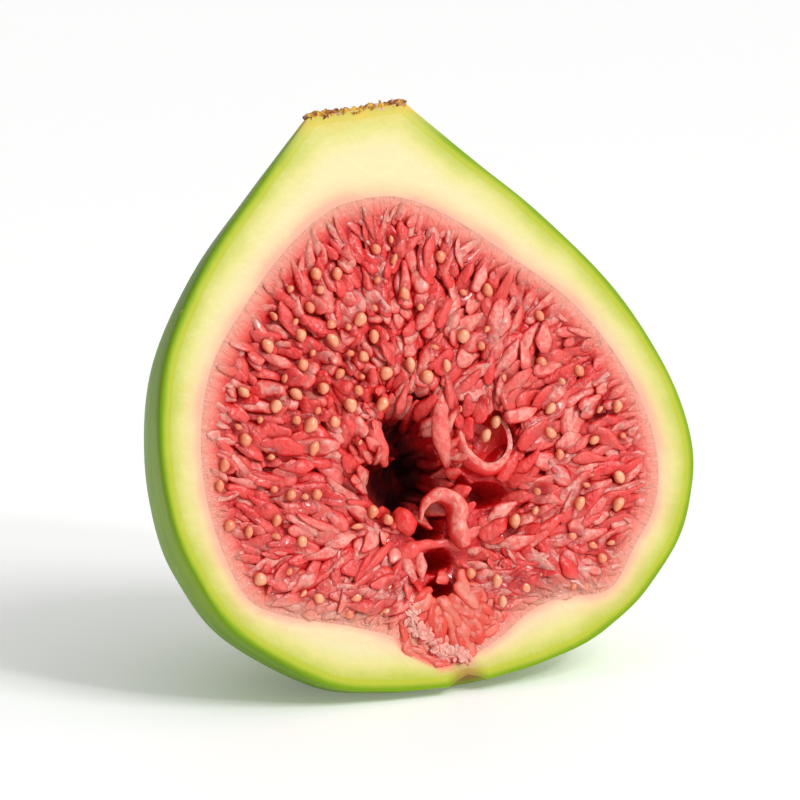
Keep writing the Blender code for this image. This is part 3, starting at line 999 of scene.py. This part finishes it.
def measured(obj):
    """Stores each point's distances in the fruit, which the materials read."""
    s = sizes()
    skin, pulp, eye = tree_of(ring_of(skin_line())), pulp_tree(), on_face(0.0, 0.6 * MM)
    places = [vertex.co for vertex in obj.data.vertices]
    keep(
        obj,
        from_skin=[skin.find(on_face(co.x, co.z))[2] for co in places],
        from_pulp=[pulp.find(on_face(co.x, co.z))[2] for co in places],
        from_scar=[max(0.0, s.height - co.z) for co in places],
        from_eye=[(co - eye).length for co in places],
        height=[co.z / s.height for co in places],
        around=[math.atan2(co.y, co.x) for co in places],
        lobe=[in_lobe(co.x, co.z) * (1.0 - smoothstep(0.5 * MM, 2.0 * MM, co.y)) for co in places],
    )


def grow(obj):
    for vertex in obj.data.vertices:
        vertex.co = grown(vertex.co)


def sink_edge(obj):
    """Rounds the wall down to the pulp at its inner edge, and moves what is behind with it."""
    edge = pulp_tree()
    for vertex in obj.data.vertices:
        co = vertex.co
        if co.y < SINK_REACH:
            way = edge.find(on_face(co.x, co.z))[2]
            sink = EDGE_SINK * (1.0 - smoothstep(0.0, 1.4 * MM, way))
            co.y += sink * (1.0 - co.y / SINK_REACH)


class FIG_OT_skin(bpy.types.Operator):
    """The green skin: a thin cup spun behind the cut, with a small round on its cut edge"""

    bl_idname = "fig.skin"
    bl_label = "Skin"

    def execute(self, context):
        outer, inner = skin_line(), wall_line()
        cut = face_between("skin_cut", outer, inner, SKIN_ROWS)
        obj = closed(joined("fig_skin", [spun("skin_out", outer), spun("skin_in", inner), cut]))
        rim = tree_of(mirrored(outer))
        first_step = math.sin(math.pi / SPIN_STEPS)
        on_cut = []
        for vertex in obj.data.vertices:
            co = vertex.co
            way = rim.find(on_face(co.x, co.z))[2]
            if abs(co.y) < ON_PLANE:
                round_off = min(RIM_ROUND, 0.35 * abs(co.x) * first_step)
                co.y = round_off * max(0.0, 1.0 - way / RIM_WIDTH) ** 2
                on_cut.append(smoothstep(0.0, 0.1 * MM, way))
            else:
                on_cut.append(0.0)
        keep(obj, on_cut=on_cut)
        grow(obj)
        measured(obj)
        settle(obj, skin_material(), ["skin"], 62.0)
        return {"FINISHED"}


class FIG_OT_wall(bpy.types.Operator):
    """The cream wall: a thick cup between the skin and the pulp"""

    bl_idname = "fig.wall"
    bl_label = "Wall"

    def execute(self, context):
        outer, inner = wall_line(), pulp_line()
        cut = face_between("wall_cut", outer, inner, np.linspace(0.0, 1.0, WALL_ROWS))
        obj = closed(joined("fig_wall", [spun("wall_out", outer), spun("wall_in", inner), cut]))
        grow(obj)
        sink_edge(obj)
        measured(obj)
        settle(obj, wall_material(), ["pith"])
        return {"FINISHED"}


def drop_template(sides, rows):
    """A ball that every floret or seed is shaped from: its points, and its faces."""
    deselect()
    bpy.ops.mesh.primitive_uv_sphere_add(segments=sides, ring_count=rows, radius=1.0)
    ball = bpy.context.object
    points = np.array([v.co[:] for v in ball.data.vertices])
    faces = [tuple(p.vertices) for p in ball.data.polygons]
    bpy.data.objects.remove(ball)
    return points, faces


def petal(template, size, draw, root=0.50, crease=0.12, roll=0.50, lens=0.04, lumpy=1.7, blunt=0.22):
    """A leaf-like drop, narrow at its root and creased along its back, bent and lumpy.

    Gives its points, and how far each one faces out of the cut, from -1 to 1."""
    x, y, z = template[0].T
    length, width, height = size
    along = (z + 1.0) / 2.0
    angle = np.arctan2(y, x)
    girth = (root + (1.0 - root) * np.clip(along / 0.5, 0.0, 1.0)) * (1.0 - 0.10 * z**2)
    girth = girth * np.maximum(1.0 - z**2, 0.05) ** -blunt
    lumps = 1.0 + 0.08 * lumpy * np.cos(3 * angle + 4 * along + draw.uniform(0, 6.3))
    lumps = lumps + 0.08 * lumpy * np.cos(9 * along + draw.uniform(0, 6.3))
    u = x * girth * lumps * width / 2
    v = y * np.abs(y) ** lens * girth * lumps * height / 2
    v = np.where(v < 0, v * (1.0 - crease * np.exp(-((x / 0.35) ** 2)) * np.sin(math.pi * along)), v)
    turn = draw.uniform(-roll, roll) + draw.uniform(-0.5, 0.5) * (along - 0.5)
    u, v = u * np.cos(turn) - v * np.sin(turn), u * np.sin(turn) + v * np.cos(turn)
    facing = -(x * np.sin(turn) + y * np.cos(turn)) / np.maximum(np.hypot(x, y), 0.2)
    bow = (along - 0.5) ** 2 - 0.08
    u = u + draw.uniform(-0.34, 0.34) * length * bow
    v = v + draw.uniform(-0.12, 0.12) * length * bow
    return np.stack([u, v, (along - 0.5) * length], 1), facing


def laid(shape, middle, along, tone):
    """A copy turned to lie along a direction, at a place in the cut."""
    points, facing = shape
    across = Vector((0.0, 1.0, 0.0)).cross(along).normalized()
    out = along.cross(across)
    axes = np.array([across[:], out[:], along[:]])
    return points @ axes + np.array(middle[:]), facing, tone


def gathered(name, template, copies, seeds=None):
    """All the copies as one piece, each with its own points, with what the materials read."""
    points, faces = template
    size = len(points)
    everything = np.vstack([copy[0] for copy in copies])
    edge, from_wall, halo = pulp_tree(), [], []
    for k, (x, _, z) in enumerate(everything):
        from_wall.append(edge.find(on_face(x, z))[2])
        near = seeds.find(on_face(x, z))[2] if seeds else 1.0
        # Florets close to a seed are pushed back to open its pocket, and the same share paints shade round
        # it
        halo.append(1.0 - smoothstep(0.50 * MM, 1.05 * MM, near))
        everything[k, 1] += 0.20 * MM * halo[-1]
    shifts = range(0, len(everything), size)
    obj = built(name, everything.tolist(), [], [tuple(i + k for i in f) for k in shifts for f in faces])
    keep(
        obj,
        tone=np.repeat([copy[2] for copy in copies], size),
        along=np.tile((points[:, 2] + 1.0) / 2.0, len(copies)),
        # How far each point faces out of the cut, which the flesh paints as highlight or shade
        crest=np.concatenate([copy[1] for copy in copies]),
        from_wall=from_wall,
        halo=halo,
        depth=everything[:, 1],
    )
    return obj


def beside(way):
    """The direction of the cut plane at right angles to this one."""
    return on_face(-way.z, way.x)


def aimed(inwards, yaw, pitch):
    """The direction inwards, turned in the cut by yaw and dipped behind it by pitch."""
    along = inwards * math.cos(yaw) + beside(inwards) * math.sin(yaw)
    return along * math.cos(pitch) + Vector((0.0, math.sin(pitch), 0.0))


def varied(draw, size, low, high):
    """The three sizes, given in millimetres, each changed by its own draw."""
    return [v * MM * draw.uniform(low, high) for v in size]


def crowding(x, z):
    """How much the florets here turn their blunt tips to the cut, from 0 to 1."""
    most = 0.0
    for mx, mz, half_x, half_z, strength in CROWDS:
        away = ((x / MM - mx) / half_x) ** 2 + ((z / MM - mz) / half_z) ** 2
        most = max(most, strength * math.exp(-away))
    return most


def open_depth(x, z):
    """How deep the hollows go at this place of the cut, from 0 at their edges to 1."""
    deepest = 0.0
    for *hollow, _ in HOLLOWS[:-1]:
        deepest = max(deepest, 1.0 - smoothstep(0.55, 1.0, hollow_way(x, z, *hollow)))
    return deepest


def edge_path():
    """The pulp's edge on the cut from one side of the eye up over the top to the other."""
    edge = [p for p in ring_of(pulp_line()) if p.z > 0.082 * sizes().height]
    left = sorted([p for p in edge if p.x < 0.0], key=lambda p: p.z)
    right = sorted([p for p in edge if p.x >= 0.0], key=lambda p: -p.z)
    return [*left, *right]


def pushed_in(spot, ring, tree, room):
    """The way to move a spot of the cut so that it has some room to the pulp's edge."""
    flat = on_face(spot.x, spot.z)
    near, i, _ = tree.find(flat)
    ahead = ring[(i + 1) % len(ring)] - ring[i - 1]
    inward = beside(ahead).normalized()
    if inward.dot(on_face(0.0, 22.0 * MM) - near) < 0.0:
        inward = -inward
    lack = room - (flat - near).dot(inward)
    return inward * max(lack, 0.0)


def ring_places(rings, draw):
    """Where the florets of each ring lie: middle, direction, size and tone."""
    path = edge_path()
    total = sum((b - a).length for a, b in zip(path, path[1:]))
    edge = ring_of(pulp_line())
    tree = tree_of(edge, 1)
    places = []
    for ring, (share, spacing, length, width, height, depth, dip) in enumerate(rings):
        count = round(total * (0.10 + 0.90 * share) / (spacing * MM))
        roots = even(path, 2 * count + 1)
        for k in range(count):
            wall = roots[2 * k + ring % 2]
            heart = heart_near(wall)
            inwards = (heart - wall).normalized()
            sideways = beside(inwards)
            whole = (wall - heart).length
            away = share * whole + draw.normal(0.0, 0.45) * MM
            middle = heart - inwards * away + sideways * draw.normal(0.0, 0.32) * MM
            crowd = crowding(middle.x, middle.z)
            grow_by = draw.uniform(0.62, 1.30)
            size = [
                length * MM * grow_by * (1.0 - 0.35 * crowd),
                width * MM * draw.uniform(0.65, 1.20),
                height * MM * draw.uniform(0.75, 1.20),
            ]
            over = away + 0.5 * size[0] - whole - 0.3 * MM
            middle += inwards * max(over, 0.0)
            pitch = math.radians(dip + draw.normal(0.0, 8.0) - 48.0 * crowd * draw.uniform(0.3, 1.0))
            middle.y = depth * MM + draw.normal(0.0, 0.13) * MM + 0.42 * size[0] * max(-math.sin(pitch), 0.0)
            wave = noise.noise(on_face(middle.x, middle.z) * WAVE_SCALE) * WAVE_TURN
            along = aimed(inwards, math.radians(draw.normal(0.0, 17.0)) + wave, pitch)
            middle += pushed_in(middle - along * 0.5 * size[0], edge, tree, 0.45 * size[1])
            tip = middle + along * 0.5 * size[0]
            middle -= along * 1.6 * MM * in_sac(tip.x, tip.z)
            tip = middle + along * 0.5 * size[0]
            if in_sac(tip.x, tip.z) > 0.8:
                continue
            hang = open_depth(tip.x, tip.z)
            if hang > 0.1:
                middle -= inwards * 0.9 * MM * hang
                along = (along + Vector((0.0, 1.1 * hang, 0.0))).normalized()
            x, _, z = middle
            if open_depth(x, z) < 0.5 and in_sac(x, z) < 0.5 and in_lobe(x, z) < 0.7:
                places.append((middle, along.normalized(), size, draw.uniform(0.0, 1.0)))
    return places


def in_sac(x, z):
    """How far inside the opened sac a place of the cut lies, from 0 outside it to 1."""
    middle, halves = SAC[0], SAC[1]
    away = math.hypot((x / MM - middle[0]) / halves[0], (z / MM - middle[2] + 0.9) / (halves[2] - 0.7))
    return 1.0 - smoothstep(0.75, 1.1, away)


def seed_places():
    """Where the seeds sit: the ones that stand out, and small ones scattered between them.

    A seed's tone tells how far the flesh covers it, from 0 for covered to 1 for bare."""
    draw = np.random.RandomState(33)
    places = []
    for spots, low, high, depth, size in SEED_KINDS:
        for x, z in spots:
            along = Vector((draw.normal(0.0, 0.6), -0.25, 1.0)).normalized()
            wide = [v * size * MM * draw.uniform(0.88, 1.12) for v in (1.0, 0.86, 0.8)]
            spot = Vector((x, depth + draw.uniform(-0.08, 0.10), z)) * MM
            places.append((spot, along, wide, draw.uniform(low, high)))
    for x, depth, z in SAC_SEEDS:
        along = Vector((0.5, -0.2, 1.0)).normalized()
        places.append((Vector((x, depth, z)) * MM, along, [1.5 * MM, 1.25 * MM, 1.15 * MM], 0.95))
    for middle, along, size, tone in ring_places(SEED_RINGS, draw):
        chance = 0.25 + 0.55 * crowding(middle.x, middle.z)
        if draw.uniform(0.0, 1.0) < chance:
            middle.y = draw.uniform(-0.05, 0.20) * MM
            places.append((middle, along, size, 0.7 * tone))
    kept = []
    for place in places:
        apart = min([(place[0] - other[0]).length for other in kept], default=1.0)
        if apart > SEEDS_APART:
            kept.append(place)
    return kept


def seed_tree():
    return tree_from([on_face(place[0].x, place[0].z) for place in seed_places()])


def swept(name, path, widths, deep, sides=16):
    """A soft strand along a smooth path, with a width at each of its points.

    Its section is deep times as deep as wide. What is deeper than wide reaches backwards."""
    line = smooth_line([Vector(p) * MM for p in path], 8)
    wide = smooth_line([Vector((w, 0.0)) * MM for w in widths], 8)
    rings = []
    for i, point in enumerate(line):
        ahead = (line[min(i + 1, len(line) - 1)] - line[max(i - 1, 0)]).normalized()
        across = Vector((0.0, 1.0, 0.0)).cross(ahead).normalized()
        out = ahead.cross(across)
        for k in range(sides):
            turn = 2.0 * math.pi * k / sides
            reach = across * math.cos(turn) + out * math.sin(turn) * deep
            spot = point + reach * max(wide[i].x, 0.02 * MM) / 2
            spot.y += max(deep - 1.0, 0.0) * wide[i].x / 2
            rings.append(spot + reach.normalized() * noise.noise(spot * 700.0) * 0.22 * MM)
    last = (len(line) - 1) * sides
    ends = [tuple(reversed(range(sides))), tuple(last + k for k in range(sides))]
    return closed(built(name, rings, [], rows_of_faces(len(line) - 1, sides) + ends))


def flesh_values(obj, **known):
    """What the flesh material reads: what is known, and the rest from the piece's own place."""
    edge = pulp_tree()
    from_wall = [edge.find(on_face(v.co.x, v.co.z))[2] for v in obj.data.vertices]
    keep(obj, along=0.5, halo=0.0, from_wall=from_wall, **known)


class FIG_OT_pulp_bed(bpy.types.Operator):
    """The bed that the florets stand in: a half body with a dished face and a hollow heart"""

    bl_idname = "fig.pulp_bed"
    bl_label = "Pulp bed"

    def execute(self, context):
        edge = pulp_line()
        middle = Vector((0.0, 21.5)) * MM
        turns = np.linspace(0.0, math.pi, ROWS)
        small = [middle + 0.3 * MM * Vector((math.sin(a), math.cos(a))) for a in turns]
        cut = face_between("bed_cut", edge, small, np.linspace(0.0, 1.0, BED_ROWS))
        obj = capped(closed(joined("fig_pulp_bed", [spun("bed_back", edge), cut])), poke=True)
        grow(obj)
        ring = ring_of(edge)
        tree, stops = tree_of(ring), PARTS * len(ring)
        step = sum((b - a).length for a, b in zip(ring, [*ring[1:], ring[0]])) / stops
        from_wall, depth, crest, flow = [], [], [], []
        for vertex in obj.data.vertices:
            co = vertex.co
            _, stop, way = tree.find(on_face(co.x, co.z))
            if abs(co.y) < ON_PLANE:
                rough = noise.noise(co * 420.0) * 0.35 * MM * smoothstep(1.0 * MM, 3.5 * MM, way)
                co.y = bed_depth(co.x, co.z, way) + rough
            elif co.y < SINK_REACH:
                co.y += EDGE_SINK * (1.0 - co.y / SINK_REACH)
            from_wall.append(way)
            depth.append(co.y)
            # Painted shade: further in from the wall the bed, seen between the florets, takes the deep red
            crest.append(0.62 - 1.1 * smoothstep(0.8 * MM, 3.6 * MM, way))
            flow.append(min(stop, stops - stop) * step)
        keep(obj, from_wall=from_wall, depth=depth, crest=crest, flow=flow, tone=0.5, along=0.5, halo=0.0)
        settle(obj, flesh_material("pulp bed"), ["pulp"], 70.0)
        return {"FINISHED"}


class FIG_OT_florets(bpy.types.Operator):
    """The florets that fill the pulp from the wall to the heart, in two layers"""

    bl_idname = "fig.florets"
    bl_label = "Florets"

    def execute(self, context):
        draw = np.random.RandomState(21)
        template = drop_template(12, 9)
        seeds = seed_tree()
        material = flesh_material("florets")
        layers = (
            ("fig_florets_outer", FLORET_RINGS[:4], 0.0),
            ("fig_florets_inner", FLORET_RINGS[4:], 0.0),
            # The lower layer gets a lower tone and so less painted highlight: painted shade for the florets
            # seen in the gaps
            ("fig_florets_lower", LOWER_RINGS, -0.5),
        )
        for name, rings, gap_shade in layers:
            copies = []
            for middle, along, size, tone in ring_places(rings, draw):
                copies.append(laid(petal(template, size, draw), middle, along, max(0.0, tone + gap_shade)))
            obj = gathered(name, template, copies, seeds)
            settle(obj, material, ["pulp"], 180.0)
        return {"FINISHED"}


class FIG_OT_hollow_florets(bpy.types.Operator):
    """Florets that hang into the hollow heart from its rim and its walls"""

    bl_idname = "fig.hollow_florets"
    bl_label = "Florets in the hollow"

    def execute(self, context):
        draw = np.random.RandomState(8)
        template = drop_template(12, 9)
        copies = []
        for level, (reach, depth, dip, count, long) in enumerate(HOLLOW_RINGS):
            for k in range(count):
                angle = 2 * math.pi * (k + 0.5 * (level % 2)) / count + draw.normal(0.0, 0.14)
                x = HOLLOW_MIDDLE[0] + reach * HOLLOW_HALVES[0] * math.cos(angle)
                z = HOLLOW_MIDDLE[1] + reach * HOLLOW_HALVES[1] * math.sin(angle)
                rim = on_face(x, z) * MM
                inwards = (on_face(*HOLLOW_AIM) * MM - rim).normalized()
                if math.sin(angle) < -0.3 and level == 0:
                    continue
                pitch = math.radians(dip + draw.normal(0.0, 9.0))
                along = aimed(inwards, math.radians(draw.normal(0.0, 16.0)), pitch)
                size = varied(draw, (long, 1.5, 0.9), 0.8, 1.2)
                middle = rim + Vector((0.0, depth * MM, 0.0)) - along * 0.15 * size[0]
                shape = petal(template, size, draw, 0.6, 0.3, 0.8)
                copies.append(laid(shape, middle, along.normalized(), draw.uniform(0.1, 0.9)))
        obj = gathered("fig_hollow_florets", template, copies)
        settle(obj, flesh_material("hollow florets"), ["pulp"], 180.0)
        return {"FINISHED"}


class FIG_OT_folds(bpy.types.Operator):
    """The large folds beside the hollow: an opened sac, a rolled lip and soft tongues"""

    bl_idname = "fig.folds"
    bl_label = "Folds"

    def execute(self, context):
        material = flesh_material("folds")
        for name, path, widths, deep, tone in FOLDS:
            obj = swept(name, path, widths, deep)
            # Painted highlight where a fold faces out of the cut, painted shade where it faces away
            crest = [min(0.15 - v.normal.y, 1.0) for v in obj.data.vertices]
            flesh_values(obj, tone=tone, crest=crest, depth=[v.co.y for v in obj.data.vertices])
            settle(obj, material, ["pulp"], 180.0)
        deselect()
        bpy.ops.mesh.primitive_uv_sphere_add(segments=28, ring_count=18, radius=1.0)
        sac = context.object
        sac.name = sac.data.name = "fig_sac"
        edit(sac)
        bpy.ops.mesh.select_all(action="SELECT")
        bpy.ops.mesh.bisect(plane_co=(0, -SAC_RIM, 0), plane_no=(0, -1, 0), clear_outer=True)
        bpy.ops.object.mode_set(mode="OBJECT")
        modified(sac, "SOLIDIFY", thickness=0.16, offset=-1.0)
        modified(sac, "BEVEL", width=0.05, segments=3)
        middle, halves, tilt = SAC
        rim = [1.0 - smoothstep(0.02, 0.20, v.co.y + SAC_RIM) for v in sac.data.vertices]
        for vertex in sac.data.vertices:
            thick = 1.0 + 0.10 * max(0.0, -vertex.co.z)
            co = Vector([c * h * MM * thick for c, h in zip(vertex.co, halves)])
            co = Matrix.Rotation(math.radians(tilt[0]), 3, "X") @ co
            co = Matrix.Rotation(math.radians(tilt[1]), 3, "Y") @ co
            shifts = [Vector((k, 0.0, 0.0)) for k in (3.0, 7.0, 11.0)]
            co += Vector([noise.noise(co * 360.0 + shift) * 0.32 * MM for shift in shifts])
            vertex.co = co + Vector(middle) * MM
        sac.data.update()
        # The sac's rim is pale: its own pale tone, and painted highlight along the edge
        flesh_values(sac, tone=rim, crest=[0.44 + 0.56 * share for share in rim], depth=0.0)
        settle(sac, material, ["pulp"], 60.0)
        return {"FINISHED"}


class FIG_OT_seeds(bpy.types.Operator):
    """Golden seeds that sit in the florets, thickest above and beside the heart"""

    bl_idname = "fig.seeds"
    bl_label = "Seeds"

    def execute(self, context):
        draw = np.random.RandomState(34)
        template = drop_template(14, 10)
        copies = []
        for middle, along, size, tone in seed_places():
            size = [v * draw.uniform(0.85, 1.12) for v in size]
            shape = petal(template, size, draw, 0.85, 0.0, 0.3, 0.0, 0.3, 0.04)
            copies.append(laid(shape, middle, along, tone))
        obj = gathered("fig_seeds", template, copies)
        settle(obj, seed_material(), ["pulp"], 180.0)
        return {"FINISHED"}


class FIG_OT_eye_scales(bpy.types.Operator):
    """The lobe above the eye: soft blobs on its right, pale scales down its left and bottom"""

    bl_idname = "fig.eye_scales"
    bl_label = "Eye scales"

    def execute(self, context):
        draw = np.random.RandomState(14)
        template = drop_template(12, 8)
        copies = []
        top = on_face(*LOBE_TOP) * MM
        sides = [on_face(left, z) * MM for z, left, _ in reversed(LOBE_SIDES)]
        sides += [on_face(right, z) * MM for z, _, right in LOBE_SIDES]
        border = even(smooth_line(sides, 12), 40)
        for before, spot, after in zip(border, border[1:], border[2:]):
            along = (after - before).normalized()
            inward = beside(along)
            middle = spot + inward * draw.uniform(0.35, 0.95) * MM
            middle.y += draw.uniform(0.10, 0.22) * MM
            along = (along + inward * draw.normal(0.0, 0.35)).normalized()
            size = varied(draw, (2.0, 1.05, 0.50), 0.7, 1.2)
            shape = petal(template, size, draw, 0.8, 0.1, 0.3)
            copies.append(laid(shape, middle, along, draw.uniform(0.2, 1.0)))
        for _ in range(LOBE_COUNT):
            height = draw.uniform(3.6, 9.6) * MM
            left, right = lobe_sides(height)
            x = left + (right - left) * draw.uniform(0.20, 0.80)
            middle = Vector((x, draw.uniform(0.10, 0.26) * MM, height))
            towards = (top - on_face(x, height)).normalized()
            ahead = middle + towards * 1.2 * MM
            if max(open_depth(middle.x, middle.z), open_depth(ahead.x, ahead.z)) > 0.2:
                continue
            along = aimed(towards, math.radians(draw.normal(0.0, 24.0)), 0.0)
            along = (along + Vector((0.0, 0.10, 0.0))).normalized()
            size = varied(draw, (2.8, 1.6, 0.60), 0.75, 1.25)
            shape = petal(template, size, draw, 0.7, 0.1, 0.3, 0.0, 1.6)
            copies.append(laid(shape, middle, along, draw.uniform(0.0, 1.0)))
        obj = gathered("fig_eye_lobe", template, copies)
        settle(obj, lobe_material("eye lobe", colours().lobe), ["pulp"], 180.0)
        template = drop_template(9, 7)
        copies = []
        line = smooth_line([Vector((x, z)) * MM for x, z in SCALE_PATH], 30)
        for _ in range(SCALE_COUNT):
            spot = line[int(draw.uniform(0, len(line) - 1))]
            x, z = spot.x + draw.normal(0.0, 0.34) * MM, spot.y + draw.normal(0.0, 0.30) * MM
            middle = Vector((x, draw.uniform(-0.05, 0.20) * MM, z))
            tilt = math.radians(draw.uniform(0.0, 360.0))
            along = Vector((math.sin(tilt), draw.uniform(-0.9, 0.1), math.cos(tilt))).normalized()
            size = varied(draw, (1.10, 0.80, 0.48), 0.6, 1.3)
            shape = petal(template, size, draw, 0.8, 0.0, 1.2, 0.0)
            copies.append(laid(shape, middle, along, draw.uniform(0.3, 1.0)))
        obj = gathered("fig_eye_scales", template, copies)
        settle(obj, lobe_material("eye scales", colours().scales), ["pulp"], 180.0)
        return {"FINISHED"}


class FIG_OT_stem_scar(bpy.types.Operator):
    """The dry, crumbling cap where the stem came away"""

    bl_idname = "fig.stem_scar"
    bl_label = "Stem scar"

    def execute(self, context):
        s = sizes()
        draw = np.random.RandomState(3)
        radius = SKIN_OUTLINE[0][0] * s.radius
        low = s.height + 0.1 * MM
        line = [Vector((share * radius, low + up * MM)) for share, up in SCAR_OUTLINE]
        obj = capped(spun("fig_stem_scar", even(line, 60)))
        for vertex in obj.data.vertices:
            co = vertex.co
            up = smoothstep(low + 0.10 * MM, low + 0.4 * MM, co.z)
            co.z += noise.fractal(co * 700.0, 1.0, 2.0, 4) * 0.30 * MM * up
            co.x += noise.noise(co * 800.0) * 0.15 * MM
        template = drop_template(7, 5)
        crumbs = []
        for k in range(CRUMB_COUNT):
            turn = draw.uniform(0.0, math.pi)
            reach = radius * (1.0 - 0.9 * draw.uniform(0.0, 1.0) ** 2)
            if k % 2:
                turn = 0.0 if draw.uniform(0.0, 1.0) < 0.5 else math.pi
                reach = radius * draw.uniform(0.0, 1.0)
            x, y = reach * math.cos(turn), reach * math.sin(turn) + 0.15 * MM
            middle = Vector((x, y, low + draw.uniform(-0.25, 0.32) * MM))
            size = varied(draw, (0.62, 0.45, 0.36), 0.5, 1.4)
            along = Vector((draw.normal(), draw.normal() * 0.5, draw.normal() * 0.6)).normalized()
            shape = petal(template, size, draw, 0.8, 0.0, 1.5)
            crumbs.append(laid(shape, middle, along, draw.uniform(0.0, 1.0)))
        rough = gathered("crumbs", template, crumbs)
        keep(obj, tone=0.2)
        obj = joined("fig_stem_scar", [obj, rough])
        grow(obj)
        settle(obj, scar_material(), ["stem_scar"], 60.0)
        return {"FINISHED"}


class FIG_OT_stage(bpy.types.Operator):
    """A plain pale floor, soft lights and the camera"""

    bl_idname = "fig.stage"
    bl_label = "Stage"

    def execute(self, context):
        deselect()
        bpy.ops.mesh.primitive_plane_add(size=3.0, location=(0, 0, 0))
        floor = context.object
        floor.name = "floor"
        made, net, shader = new_material("pale floor")
        net.fill(shader, Base_Color=(0.96, 0.96, 0.955), Roughness=0.55)
        net.fill(shader, Emission_Color=(1.0, 1.0, 1.0), Emission_Strength=0.17)
        floor.data.materials.append(made)

        place_camera(TARGET, math.radians(AZIMUTH), math.radians(ELEVATION), DISTANCE)
        sun_light("sun", (0.42, -0.62, 0.80), 24.0, 1.25)
        area_light("glint", (0.16, -0.42, 0.32), TARGET, 0.05, 0.60)

        world = bpy.data.worlds.new("studio")
        context.scene.world = world
        world.use_nodes = True
        net = Net(world.node_tree)
        seen = net.node("Background", Color=(1.0, 1.0, 1.0), Strength=1.0)
        way = net.node("SeparateXYZ", Vector=net.node("TexCoord").outputs["Generated"])
        bright = net.ramp(way.outputs["X"], -0.9, 0.7, 0.22, 0.80)
        light = net.node("Background", Color=(1.0, 1.0, 1.0), Strength=bright)
        which = net.node("MixShader")
        net.put(which.inputs[0], net.node("LightPath").outputs["Is Camera Ray"])
        net.put(which.inputs[1], light.outputs[0])
        net.put(which.inputs[2], seen.outputs[0])
        end = net.node("OutputWorld")
        net.put(end.inputs["Surface"], which.outputs[0])
        context.scene.view_settings.view_transform = "Standard"
        context.scene.view_settings.look = "None"
        return {"FINISHED"}


def place_camera(target, azimuth, elevation, distance):
    """A camera at these angles about the target. Azimuth 0 looks along +Y."""
    back = Vector(
        (
            math.sin(azimuth) * math.cos(elevation),
            -math.cos(azimuth) * math.cos(elevation),
            math.sin(elevation),
        )
    )
    data = bpy.data.cameras.new("camera")
    data.lens = FOCAL_LENGTH
    data.sensor_width = 36.0
    data.clip_start = 0.01
    camera = bpy.data.objects.new("camera", data)
    camera.location = target + back * distance
    camera.rotation_euler = (-back).to_track_quat("-Z", "Y").to_euler()
    bpy.context.scene.collection.objects.link(camera)
    bpy.context.scene.camera = camera


def sun_light(name, towards, softness, power):
    data = bpy.data.lights.new(name, "SUN")
    data.angle = math.radians(softness)
    data.energy = power
    light = bpy.data.objects.new(name, data)
    light.rotation_euler = Vector(towards).to_track_quat("Z", "Y").to_euler()
    bpy.context.scene.collection.objects.link(light)


def area_light(name, place, target, size, power):
    data = bpy.data.lights.new(name, "AREA")
    data.shape = "DISK"
    data.size = size
    data.energy = power
    light = bpy.data.objects.new(name, data)
    light.location = place
    light.rotation_euler = (Vector(place) - target).to_track_quat("Z", "Y").to_euler()
    bpy.context.scene.collection.objects.link(light)


PIECES = (
    FIG_OT_skin,
    FIG_OT_wall,
    FIG_OT_pulp_bed,
    FIG_OT_florets,
    FIG_OT_hollow_florets,
    FIG_OT_folds,
    FIG_OT_seeds,
    FIG_OT_eye_scales,
    FIG_OT_stem_scar,
    FIG_OT_stage,
)


class FIG_PT_panel(bpy.types.Panel):
    bl_idname = "FIG_PT_panel"
    bl_label = "Fig"
    bl_space_type = "VIEW_3D"
    bl_region_type = "UI"
    bl_category = "Fig"

    def draw(self, context):
        for group in (context.scene.fig_sizes, context.scene.fig_colours):
            for name in group.__annotations__:
                self.layout.prop(group, name)
        for piece in PIECES:
            self.layout.operator(piece.bl_idname)


CLASSES = (FigSizes, FigColours, *PIECES, FIG_PT_panel)


def register():
    for cls in CLASSES:
        bpy.utils.register_class(cls)
    bpy.types.Scene.fig_sizes = bpy.props.PointerProperty(type=FigSizes)
    bpy.types.Scene.fig_colours = bpy.props.PointerProperty(type=FigColours)


def unregister():
    del bpy.types.Scene.fig_sizes
    del bpy.types.Scene.fig_colours
    for cls in reversed(CLASSES):
        bpy.utils.unregister_class(cls)


def main():
    register()
    bpy.ops.fig.skin()
    bpy.ops.fig.wall()
    bpy.ops.fig.pulp_bed()
    bpy.ops.fig.florets()
    bpy.ops.fig.hollow_florets()
    bpy.ops.fig.folds()
    bpy.ops.fig.seeds()
    bpy.ops.fig.eye_scales()
    bpy.ops.fig.stem_scar()
    bpy.ops.fig.stage()


if __name__ == "__main__":
    main()
